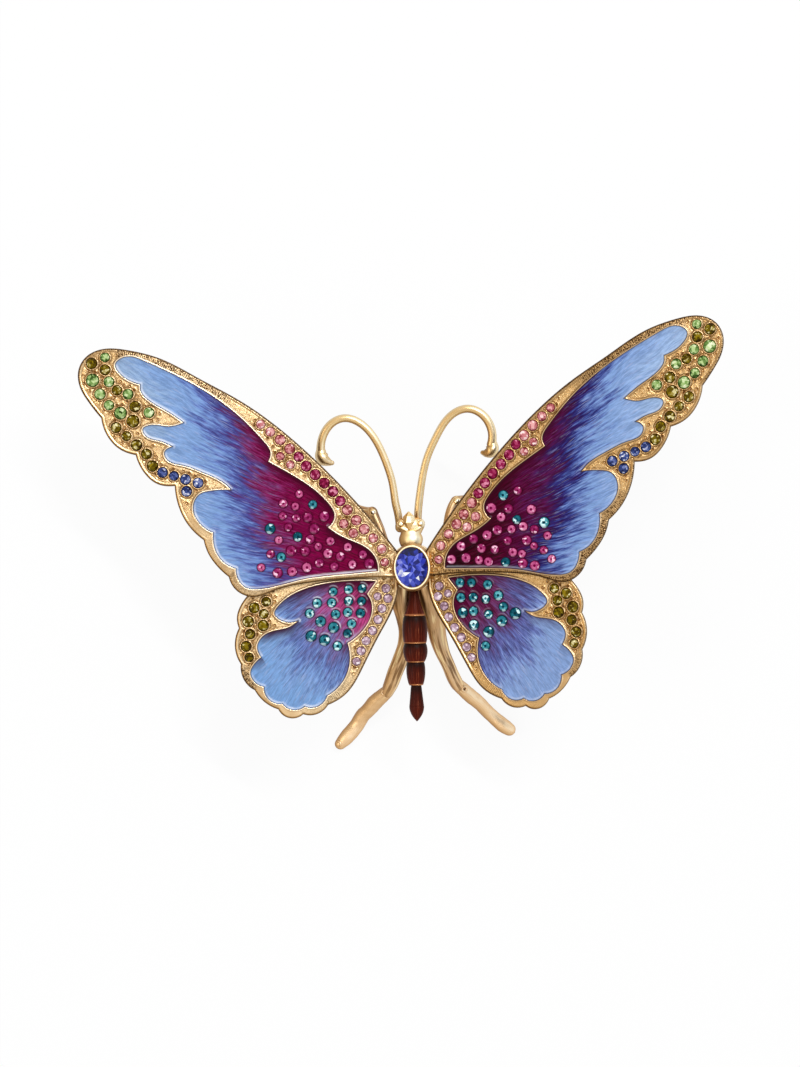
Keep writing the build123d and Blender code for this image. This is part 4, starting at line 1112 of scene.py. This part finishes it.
def ringShell(centers, directions, radii, sides, relief=None, flatten=1.0):
    # closed shell of rings round a path; grain says where round the ring and how far along
    centers, directions = np.array(centers, float), np.array(directions, float)
    directions /= np.linalg.norm(directions, axis=1)[:, None]
    across = np.cross(directions, (0, 0, 1))
    across /= np.linalg.norm(across, axis=1)[:, None]
    over = np.cross(across, directions)
    angle = np.arange(sides) * 2 * math.pi / sides
    along = np.concatenate([[0], np.cumsum(np.linalg.norm(np.diff(centers, axis=0), axis=1))])
    bulge = relief(angle[None, :], along[:, None]) if relief else np.ones((len(centers), sides))
    reach = (np.array(radii)[:, None] * bulge)[..., None]
    sideways, upwards = np.cos(angle)[None, :, None], np.sin(angle)[None, :, None]
    rings = centers[:, None] + reach * (sideways * across[:, None] + upwards * over[:, None] * flatten)
    points = np.concatenate([rings.reshape(-1, 3), centers[[0, -1]]])
    points[:, 2] = np.maximum(points[:, 2], 0)
    grain = np.stack(np.broadcast_arrays(np.cos(angle)[None], np.sin(angle)[None], along[:, None]), 2)
    grain = np.concatenate([grain.reshape(-1, 3), [(0, 0, along[0]), (0, 0, along[-1])]])
    faces, last = [], (len(centers) - 1) * sides
    for start in range(0, last, sides):
        faces += wallBetween(start, start + sides, sides)
    front = last + sides
    for j in range(sides):
        k = (j + 1) % sides
        faces += [(front, j, k), (front + 1, last + k, last + j)]
    return points, faces, grain


def tubeShell(rows, sides=20, step=0.45, relief=None, flatten=1.0):
    # tube through rows of x, y, height and radius, with round ends
    path = np.concatenate([smoothRun(rows, step), [rows[-1]]])
    spots, radii = path[:, :3], path[:, 3]
    heading = np.gradient(spots, axis=0)
    heading /= np.linalg.norm(heading, axis=1)[:, None]
    turn = np.radians((82, 62, 42, 20))
    first = spots[0] - np.outer(radii[0] * np.sin(turn), heading[0])
    last = spots[-1] + np.outer(radii[-1] * np.sin(turn[::-1]), heading[-1])
    directions = np.concatenate([np.tile(heading[0], (4, 1)), heading, np.tile(heading[-1], (4, 1))])
    allRadii = np.concatenate([radii[0] * np.cos(turn), radii, radii[-1] * np.cos(turn[::-1])])
    return ringShell(np.concatenate([first, spots, last]), directions, allRadii, sides, relief, flatten)


def turnedShell(profile, start, headingDegrees, sides=40, relief=None, flatten=1.0):
    # shell turned round a level line from start; the profile's rows are how far along and how wide
    profile, heading = np.array(profile, float), math.radians(headingDegrees)
    way = np.array((math.cos(heading), math.sin(heading), 0))
    centers = np.array(start) + profile[:, :1] * way
    return ringShell(centers, np.tile(way, (len(profile), 1)), profile[:, 1], sides, relief, flatten)


def ballShell(center, radius, sides=24):
    turn = np.linspace(4, 176, 15) * math.pi / 180
    return turnedShell(np.stack([-np.cos(turn), np.sin(turn)], 1) * radius, center, 90, sides)


def hoopShell(center, radius, thickness, facing=(0, 0, 1), sides=28, rounds=10):
    # small closed ring, such as an eye's cup or a curl
    facing = np.array(facing, float) / np.linalg.norm(facing)
    first = np.cross(facing, (0.31, 0.95, 0.02))
    first /= np.linalg.norm(first)
    second = np.cross(facing, first)
    points, faces = [], []
    for a in np.arange(sides) * 2 * math.pi / sides:
        outward = math.cos(a) * first + math.sin(a) * second
        for b in np.arange(rounds) * 2 * math.pi / rounds:
            points.append(center + outward * (radius + thickness * math.cos(b))
                          + facing * thickness * math.sin(b))
    for i in range(sides):
        faces += wallBetween(i * rounds, (i + 1) % sides * rounds, rounds)
    return np.array(points), faces, np.zeros((len(points), 3))


def castPiece(name, shells, smooth=True):
    # several closed shells as one piece
    points, faces, grain, start = [], [], [], 0
    for shellPoints, shellFaces, shellGrain in shells:
        points.append(shellPoints)
        grain.append(shellGrain)
        faces += [tuple(int(i) + start for i in face) for face in shellFaces]
        start += len(shellPoints)
    return meshPiece(name, inFrame(np.concatenate(points)), faces, {"grain": np.concatenate(grain)}, smooth)


def fused(name, shells, voxel, rounds):
    # shells melted into one casting, with soft inner corners
    rough = castPiece("rough", shells)
    melt, soften = rough.modifiers.new("melt", "REMESH"), rough.modifiers.new("soften", "SMOOTH")
    melt.mode, melt.voxel_size = "VOXEL", voxel / 1000
    soften.factor, soften.iterations = 0.5, rounds
    piece = baked(name, rough)
    piece.data.polygons.foreach_set("use_smooth", [True] * len(piece.data.polygons))
    return piece


# centre stone and bezel: the bezel's profile is how far outside the stone, and the height; glints are facets
# near a place that are painted bright as highlights
setting = {"halfWidth": 4.0, "halfLength": 5.0, "tableShare": 0.58, "girdle": 33.0, "top": 34.75, "foot": 29.4,
           "star": (0.15, 0.4), "sides": 96,
           "profile": [(0.95, 28.4), (0.98, 29.0), (0.86, 30.2), (0.62, 31.6), (0.46, 32.5), (0.50, 32.95),
                       (0.44, 33.28), (0.24, 33.42), (0.02, 33.34), (-0.13, 33.12), (-0.15, 32.7),
                       (-0.02, 32.3), (-0.02, 30.0), (-0.6, 28.2), (0.4, 28.1)],
           "facets": [0.30, 0.55, 0.18, 0.42, 0.10, 0.35, 0.62, 0.22, 0.48, 0.15, 0.38, 0.58, 0.25, 0.45,
                      0.12, 0.33],
           "glints": [((1.7, -2.9), 1.3), ((-1.5, -1.3), 1.1)]}
# the sapphire's tones, from its darkest facet to a white painted glint
sapphire = {"places": (0.0, 0.22, 0.45, 0.64, 0.85, 1.0),
            "tones": [(10, 12, 54), (20, 28, 110), (42, 60, 180), (92, 104, 216), (158, 166, 238),
                      (250, 252, 255)]}


def ovalRing(offset, height, count, turn=0.0, share=1.0):
    wide, long = setting["halfWidth"] * share + offset, setting["halfLength"] * share + offset
    angles = np.arange(count) * 2 * math.pi / count + turn
    return [(math.cos(a) * wide, math.sin(a) * long, height) for a in angles]


def makeBezel():
    sides, profile = setting["sides"], setting["profile"]
    points = np.array([spot for offset, height in profile for spot in ovalRing(offset, height, sides)])
    faces = []
    for i in range(len(profile)):
        wall = wallBetween(i * sides, (i + 1) % len(profile) * sides, sides)
        faces += [(a, d, c, b) for a, b, c, d in wall]
    piece = castPiece("bezelRim", [(points, faces, np.zeros((len(points), 3)))])
    dress(piece, plainGilt, "gilt_metal", "bezel")


def makeCenterStone():
    # an oval brilliant: the facets seen through its table are flat cells whose tones are painted light and
    # shade
    girdle, top, foot = setting["girdle"], setting["top"], setting["foot"]
    rings = [[(*setting["star"], top)], ovalRing(0, top, 8, math.pi / 8, 0.26),
             ovalRing(0, top, 16, 0, setting["tableShare"]), ovalRing(0, girdle + 0.95, 16, math.pi / 16, 0.80),
             ovalRing(0, girdle + 0.1, 32, 0, 0.985), ovalRing(0, girdle - 0.5, 32, 0, 0.985), [(0, 0, foot)]]
    starts = np.cumsum([0] + [len(ring) for ring in rings])
    faces, tones = [], []

    def facet(tone, *corners):
        faces.append(tuple(int(starts[ring] + i % len(rings[ring])) for ring, i in corners))
        tones.append(tone)

    # painted light and shade, facet by facet: brightness that stands in for the light the sapphire sends back
    facetLight = setting["facets"]
    for i in range(8):
        facet(facetLight[i], (0, 0), (1, i), (1, i + 1))
        facet(facetLight[(i * 3 + 2) % 16], (1, i), (2, 2 * i + 1), (1, i + 1))
        facet(facetLight[(i * 5 + 1) % 16], (1, i), (2, 2 * i), (2, 2 * i + 1))
        facet(facetLight[(i * 7 + 4) % 16], (1, i + 1), (2, 2 * i + 1), (2, 2 * i + 2))
    for i in range(16):
        facet(facetLight[(i * 3) % 16] + 0.12, (2, i), (3, i), (2, i + 1))
        facet(facetLight[(i * 5 + 3) % 16], (2, i + 1), (3, i), (4, 2 * i + 2), (3, i + 1))
        facet(facetLight[(i * 7 + 2) % 16] * 0.5, (3, i), (4, 2 * i), (4, 2 * i + 1))
        facet(facetLight[(i * 11 + 5) % 16] * 0.4, (3, i), (4, 2 * i + 1), (4, 2 * i + 2))
    for i in range(32):
        facet(0.0, (4, i), (5, i), (5, i + 1), (4, i + 1))
        facet(0.0, (5, i), (6, 0), (5, i + 1))
    points = np.array([spot for ring in rings for spot in ring])
    middles = np.array([points[list(face)].mean(0) for face in faces])
    x, y, high = middles.T
    # painted light and shade: facets lighter toward the bottom and the left, darker toward the top
    tones = np.array(tones) + 0.12 * (y < 0) - 0.16 * (y > 3) + 0.15 * (x < -1.2)
    for spot, tone in setting["glints"]:
        tones[np.argmin(np.hypot(x - spot[0], y - spot[1]) + 9 * (high < girdle))] = tone
    piece = meshPiece("centerStoneCut", inFrame(points), faces, {}, smooth=False)
    piece.data.attributes.new("facet", "FLOAT", "FACE").data.foreach_set("value", tones)
    finish = Finish("sapphire")
    coords = finish.node("ShaderNodeTexCoord", out="Object")
    tone = finish.attribute("facet") + (finish.noise(coords, 700, 1) - 0.5) * 0.5
    color = finish.ramp(tone, sapphire["places"], sapphire["tones"])
    finish.lay({"Base Color": color, "Roughness": 0.06, "Specular IOR Level": 0.3})
    dress(piece, finish.material, "blue_center_stone", "center_stone")


# abdomen: share of the length where each band ends, and its radii at the front, middle and back, in halves of
# its width; a rim is how far a band closes in at its edge and over what length. The core's rings stand behind
# the bands, as the way from a band's end and how far inside its edge
abdomen = {"start": (0, -5.9, 25.0), "leanDegrees": 0.9, "length": 32.3, "half": 3.1, "sides": 56, "gap": 0.1,
           "ends": [0.0, 0.192, 0.402, 0.546, 0.722, 0.888], "cap": 0.3,
           "radii": [(0.33, 0.52, 0.86), (0.87, 1.0, 0.91), (0.87, 0.97, 0.74), (0.70, 0.75, 0.58),
                     (0.42, 0.50, 0.59)],
           "frontRim": (0.10, 0.12), "backRim": (0.07, 0.15),
           "root": [(-0.6, 0.8), (0.0, 0.9)], "rings": [(-0.22, 0.10), (-0.12, 0.01), (0, 0.1)],
           "tail": {"overlap": 0.12, "half": 0.582, "power": 2.1, "tip": 0.03, "core": [(1, 0.6), (1.2, 0.1)]}}
brown = {"places": (0.0, 0.3, 0.55, 0.85, 1.0),
         "tones": [(34, 12, 8), (56, 18, 10), (80, 24, 12), (108, 38, 18), (134, 58, 30)],
         "front": (30, 14, 10), "streak": (176, 104, 70), "edge": (196, 126, 80)}


def brownFinish():
    finish = Finish("brownEnamel")
    x, y, share = finish.split(finish.attribute("grain", "Vector"))
    streak = finish.noise(finish.joined(x * 13, y * 13, share * 1.1), 1.0, 3, 0.7)
    # darker toward each band's front: painted shadow under the band before it
    color = finish.ramp(share * 0.4 + 0.22 + (streak - 0.5) * 1.5, brown["places"], brown["tones"])
    # painted shadow at each band's front, a painted sheen on the pale streaks, and the pale edge at its end
    for factor, tone in (
            (finish.band(share, 0.08, 0.3, 0.8, 0.0), "front"),
            (finish.band(streak, 0.6, 0.72, 0.0, 0.5) * finish.band(share, 0.3, 0.5), "streak"),
            (finish.band(share, 0.945, 0.985, 0.0, 0.8), "edge")):
        color = finish.tint(color, factor, brown[tone])
    return finish.lay({"Base Color": color, "Roughness": 0.36, "Specular IOR Level": 0.05,
                       "Normal": finish.bump(streak * 0.6, 0.0001, 0.5)})


def makeAbdomen():
    finish, way = brownFinish(), -90 - abdomen["leanDegrees"]
    length, half, ends = abdomen["length"], abdomen["half"], abdomen["ends"]
    core = list(abdomen["root"])

    def turned(rows, start=0):
        return turnedShell(np.array(rows) + [start, 0], abdomen["start"], way, abdomen["sides"])

    def enamelled(name, shell, index):
        dress(castPiece(name, [shell]), finish, "brown_enamel", f"abdomen_enamel_{index}")

    for index, (first, middle, last) in enumerate(abdomen["radii"]):
        start, end = ends[index] * length, ends[index + 1] * length
        share, span = np.linspace(0, 1, 22), end - start
        curve = (first * (1 - share) * (1 - 2 * share) + 4 * middle * share * (1 - share)
                 + last * share * (2 * share - 1))
        closing = abdomen["frontRim"][0] * np.exp(-share * span / abdomen["frontRim"][1])
        closing += abdomen["backRim"][0] * np.exp(-(1 - share) * span / abdomen["backRim"][1]) * (index < 4)
        back = span - abdomen["gap"]
        rows = [(0, abdomen["cap"]), *zip(share * back, curve * half - closing), (back, abdomen["cap"])]
        points, faces, grain = turned(rows, start)
        grain[:, 2] /= grain[:, 2].max()
        if index == 0:
            grain[:, 2] = 0.4 + 0.6 * grain[:, 2]
        if index == 4:
            grain[:, 2] *= 0.6
        enamelled(f"abdomenBand{index + 1}", (points, faces, grain), index + 1)
        core += [(start + 0.2, first * half * 0.7), (end - 0.32, last * half * 0.8)]
        if index < 4:
            core += [(end + along, last * half - inside) for along, inside in abdomen["rings"]]
    tail = abdomen["tail"]
    start = ends[-1] * length - tail["overlap"]
    share = np.linspace(0, 1, 20)
    radii = (1 - share ** tail["power"]) * tail["half"] * half + tail["tip"]
    points, faces, grain = turned([(0, abdomen["cap"]), *zip(share * (length - start), radii)], start)
    grain[:, 2] = 0.6 + 0.3 * grain[:, 2] / grain[:, 2].max()
    enamelled("abdomenTail", (points, faces, grain), 6)
    core += [(start + along, radius) for along, radius in tail["core"]]
    dress(castPiece("abdomenCore", [turned(core)]), copperGilt, "gilt_metal", "abdomen")


# head, eyes and collar: profiles are how far headwards and how wide; a lid's rows start with the share of the
# eye's place, a socket's with y, and the bud's are y, half its width, half its ridge and x
face = {"axis": 25.8, "eyes": [(-2.5, 10.75, 27.9), (2.4, 10.7, 27.9)], "eyeRadius": 0.85,
        "skull": [(8.2, 2.0), (8.3, 2.45), (8.9, 2.75), (9.6, 3.15), (10.4, 3.45), (11.1, 3.4), (11.7, 2.9),
                  (12.1, 2.1), (12.3, 1.0)], "flatten": 0.74,
        "cup": {"radius": 0.92, "thickness": 0.2, "shift": (0, -0.1, -0.15), "lean": 0.3},
        "lids": (-2.5, 2.5),
        "lid": [(0.42, 9.1, 27.6, 0.5), (0.7, 9.5, 27.7, 0.5), (0.95, 9.9, 27.6, 0.5), (1.15, 10.4, 27.3, 0.4)],
        "sockets": (-2.85, 1.75),
        "socket": [(9.8, 24.6, 1.15), (10.2, 24.65, 1.15), (10.6, 24.7, 1.1), (11.0, 24.75, 1.0)],
        "bud": [(9.2, 0.35, 0.04, -0.42), (11.0, 1.66, 0.62, -0.49), (12.55, 1.4, 0.4, -0.45),
                (13.75, 0.12, 0.03, -0.4)], "budLevel": 27.9, "budHeight": 0.8, "budWear": 0.00012,
        "pillow": [(5.0, 1.5), (5.2, 2.5), (5.9, 2.8), (6.6, 2.98), (7.3, 2.92), (7.9, 2.7), (8.3, 2.5),
                   (8.7, 2.45), (9.2, 2.3), (9.4, 1.2)], "pillowX": -0.2}


def makeHead():
    axis, cup, level = face["axis"], face["cup"], face["budLevel"]
    skull = turnedShell(face["skull"], (0, 0, axis), 90, flatten=face["flatten"])
    cups = [hoopShell(np.array(eye) + cup["shift"], cup["radius"], cup["thickness"],
                      (math.copysign(cup["lean"], eye[0]), -0.1, 1)) for eye in face["eyes"]]
    lids = [tubeShell([(x * share, *spot) for share, *spot in face["lid"]]) for x in face["lids"]]
    sockets = [tubeShell([(x, *spot) for spot in face["socket"]]) for x in face["sockets"]]
    dress(fused("headCast", [skull, *cups, *lids, *sockets], 0.1, 3), plainGilt, "gilt_metal", "head")
    bud = []
    for y, wide, ridge, x in face["bud"]:
        over, under = level + wide * face["budHeight"], level - wide * face["budHeight"]
        bud += [(x + wide, y, level), (x + ridge, y, over), (x - ridge, y, over), (x - wide, y, level),
                (x - ridge, y, under), (x + ridge, y, under)]
    faces = [(5, 4, 3, 2, 1, 0), (18, 19, 20, 21, 22, 23)]
    for ring in (0, 6, 12):
        faces += [quad[::-1] for quad in wallBetween(ring, ring + 6, 6)]
    piece = castPiece("headBud", [(np.array(bud), faces, np.zeros((24, 3)))], smooth=False)
    bevel = piece.modifiers.new("wear", "BEVEL")
    bevel.width, bevel.segments = face["budWear"], 2
    dress(piece, plainGilt, "gilt_metal", "head")
    eyes = [ballShell(eye, face["eyeRadius"]) for eye in face["eyes"]]
    dress(castPiece("eyeBalls", eyes), paleGilt, "gilt_metal", "eyes")
    pillow = turnedShell(face["pillow"], (face["pillowX"], 0, axis), 90, 48)
    dress(castPiece("collarRing", [pillow]), plainGilt, "gilt_metal", "collar")


# antennas: x, y, height and radius from the root to the outer end
antennas = {
    "left": {"wire": [(-2.9, 10.2, 24.7, 0.95), (-3.2, 13.5, 25.15, 0.97), (-3.6, 15.6, 25.5, 0.96),
                      (-4.1, 20.3, 26.2, 0.92), (-5.2, 25.0, 26.9, 0.92), (-7.05, 30.0, 27.7, 0.92),
                      (-9.7, 34.3, 28.4, 0.94), (-12.7, 36.7, 28.7, 0.96), (-15.3, 37.35, 28.8, 0.97),
                      (-18.2, 36.4, 28.7, 0.99), (-20.4, 33.95, 28.25, 1.02), (-21.4, 31.1, 27.8, 1.04),
                      (-21.5, 29.2, 27.4, 1.15)],
             "club": [(-21.5, 29.3, 27.35, 1.3), (-21.4, 28.3, 27.25, 1.65), (-20.9, 27.4, 27.2, 1.6),
                      (-20.1, 26.9, 27.1, 1.2), (-19.4, 26.6, 27.05, 0.85), (-18.9, 26.5, 27.0, 0.6)],
             "outer": 1},
    "right": {"wire": [(1.6, 10.1, 24.7, 0.95), (1.8, 13.3, 25.15, 0.97), (2.4, 17.5, 25.8, 0.95),
                       (3.4, 22.6, 26.6, 0.92), (4.8, 27.2, 27.4, 0.92), (7.1, 31.8, 28.1, 0.93),
                       (9.6, 35.6, 28.7, 0.95), (12.8, 38.0, 29.1, 0.97), (15.4, 38.4, 29.2, 1.0),
                       (18.5, 37.0, 29.0, 1.02), (20.4, 34.3, 28.6, 1.04), (20.95, 31.7, 28.2, 1.06),
                       (20.6, 29.4, 27.8, 1.15)],
              "club": [(20.9, 29.3, 27.7, 1.3), (20.8, 28.4, 27.6, 1.65), (20.3, 27.7, 27.5, 1.6),
                       (19.5, 27.4, 27.3, 1.2), (18.8, 27.4, 27.1, 0.85), (18.4, 27.5, 27.0, 0.6)],
              "outer": -1}}


def makeAntennas():
    for side, shape in antennas.items():
        shells = [tubeShell(shape["wire"], 28), tubeShell(shape["club"], 28, 0.2)]
        # the painted highlight goes to the outer side of each antenna's curl
        for shell in shells:
            shell[2][:, 0] *= shape["outer"]
        dress(castPiece("antennaWire_" + side, shells), wireGilt, "gilt_metal", "antenna_" + side)


# legs: x, y, height and radius, the turn of the ridge on the thigh, and small curls with their thickness
legs = {
    "hind_leg_left": {
        "thigh": [(-3.2, -2.0, 23.2, 2.9), (-3.2, -9.0, 20.6, 2.6), (-2.6, -14.5, 17.8, 2.0),
                  (-3.0, -19.2, 15.4, 1.9), (-4.7, -23.7, 13.4, 1.95), (-6.1, -26.8, 12.0, 1.9),
                  (-7.4, -29.8, 10.5, 1.75), (-8.1, -31.1, 9.7, 1.55)],
        "shin": [(-8.1, -31.1, 9.0, 1.6), (-10.3, -32.9, 7.0, 1.9), (-12.0, -34.4, 5.5, 1.95),
                 (-13.4, -35.9, 4.3, 1.9), (-15.0, -37.4, 3.0, 1.86), (-16.1, -39.0, 2.1, 1.88),
                 (-17.2, -40.5, 1.8, 1.92), (-18.6, -42.0, 1.7, 1.9), (-20.0, -43.4, 1.6, 1.75),
                 (-20.9, -44.3, 1.5, 1.5)],
        "ridge": 2.2, "curls": [(-21.3, -44.2, 2.6, 0.62, 0.34), (-9.0, -31.4, 10.4, 0.6, 0.3)]},
    "hind_leg_right": {
        "thigh": [(3.2, -2.0, 23.2, 2.9), (3.9, -9.0, 20.6, 2.8), (4.9, -15.2, 17.2, 2.4),
                  (5.5, -19.0, 15.8, 2.1), (6.6, -22.7, 14.3, 1.75), (7.8, -25.8, 13.0, 1.65),
                  (8.7, -28.3, 11.7, 1.7), (9.6, -30.2, 10.2, 1.6)],
        "shin": [(9.4, -30.0, 9.2, 1.6), (11.5, -32.1, 7.5, 1.8), (13.2, -33.8, 6.0, 1.8),
                 (15.0, -35.5, 4.5, 1.75), (16.3, -37.1, 3.0, 1.68), (17.9, -38.8, 2.0, 1.72),
                 (19.5, -40.3, 1.8, 1.8), (21.0, -41.6, 1.7, 1.8), (22.0, -42.3, 1.6, 1.65)],
        "ridge": 1.0, "curls": [(11.2, -31.2, 10.3, 0.62, 0.34), (9.4, -29.3, 11.9, 0.5, 0.26)]},
    "front_leg_left": {
        "thigh": [(-4.6, 1.5, 22.4, 1.8), (-6.6, 5.2, 21.4, 1.3), (-7.9, 9.4, 20.3, 1.15),
                  (-9.0, 12.2, 19.7, 1.25), (-9.8, 14.0, 19.3, 1.4)],
        "shin": [(-9.8, 13.9, 18.6, 1.35), (-12.6, 14.3, 15.0, 1.4), (-18.5, 16.8, 7.5, 1.75),
                 (-24.0, 19.0, 1.6, 1.8), (-27.5, 19.9, 1.4, 1.6), (-30.0, 20.5, 1.3, 1.3)],
        "ridge": 1.2, "knob": (-9.6, 13.9, 20.2, 0.95)},
    "front_leg_right": {
        "thigh": [(4.8, 1.5, 22.4, 1.8), (7.2, 5.8, 21.2, 1.5), (8.85, 9.3, 20.3, 1.35),
                  (9.6, 12.0, 19.8, 1.45), (10.4, 14.3, 19.4, 1.5), (11.3, 15.8, 19.1, 1.45)],
        "shin": [(11.2, 15.8, 18.4, 1.4), (14.0, 16.0, 14.0, 1.5), (18.5, 17.0, 7.5, 1.8),
                 (24.0, 19.0, 1.6, 1.8), (27.5, 19.9, 1.4, 1.6), (30.0, 20.5, 1.3, 1.3)],
        "ridge": 2.0, "knob": (11.4, 15.8, 20.1, 1.05)}}


def shinRelief(angle, along):
    return 1 + 0.015 * np.sin(along * 1.05 + 0.6 * np.cos(angle)) + 0.008 * np.sin(along * 2.7 + 3 * angle)


def makeLegs():
    for name, shape in legs.items():
        place, _, side = name.replace("_leg", "").partition("_")

        def thighRelief(angle, along):
            crest = np.exp(-((angle - shape["ridge"]) / 0.32) ** 2) * 0.13 * np.clip(along / 12, 0, 1)
            return 1 + crest + 0.02 * np.cos(6 * angle + along * 0.18) + 0.01 * np.sin(along * 1.3 + angle)

        shells = [tubeShell(shape[part], 36, 0.4, relief)
                  for part, relief in (("thigh", thighRelief), ("shin", shinRelief))]
        for x, y, height, radius, thickness in shape.get("curls", ()):
            shells.append(hoopShell(np.array((x, y, height)), radius, thickness, (x * 0.04, -0.3, 1)))
        dress(castPiece(f"{place}Leg_{side}", shells), legGilt, "gilt_metal", name)
        if "knob" in shape:
            *spot, radius = shape["knob"]
            dress(castPiece(f"{place}Knob_{side}", [ballShell(spot, radius)]), paleGilt, "gilt_metal", name)


makeBezel()
makeCenterStone()
makeAbdomen()
makeHead()
makeAntennas()
makeLegs()
print("body, antennas and legs made")

for name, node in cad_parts.items():
    if not node.hide_render:
        node.data.materials.clear()
        node.data.materials.append(plainGilt)
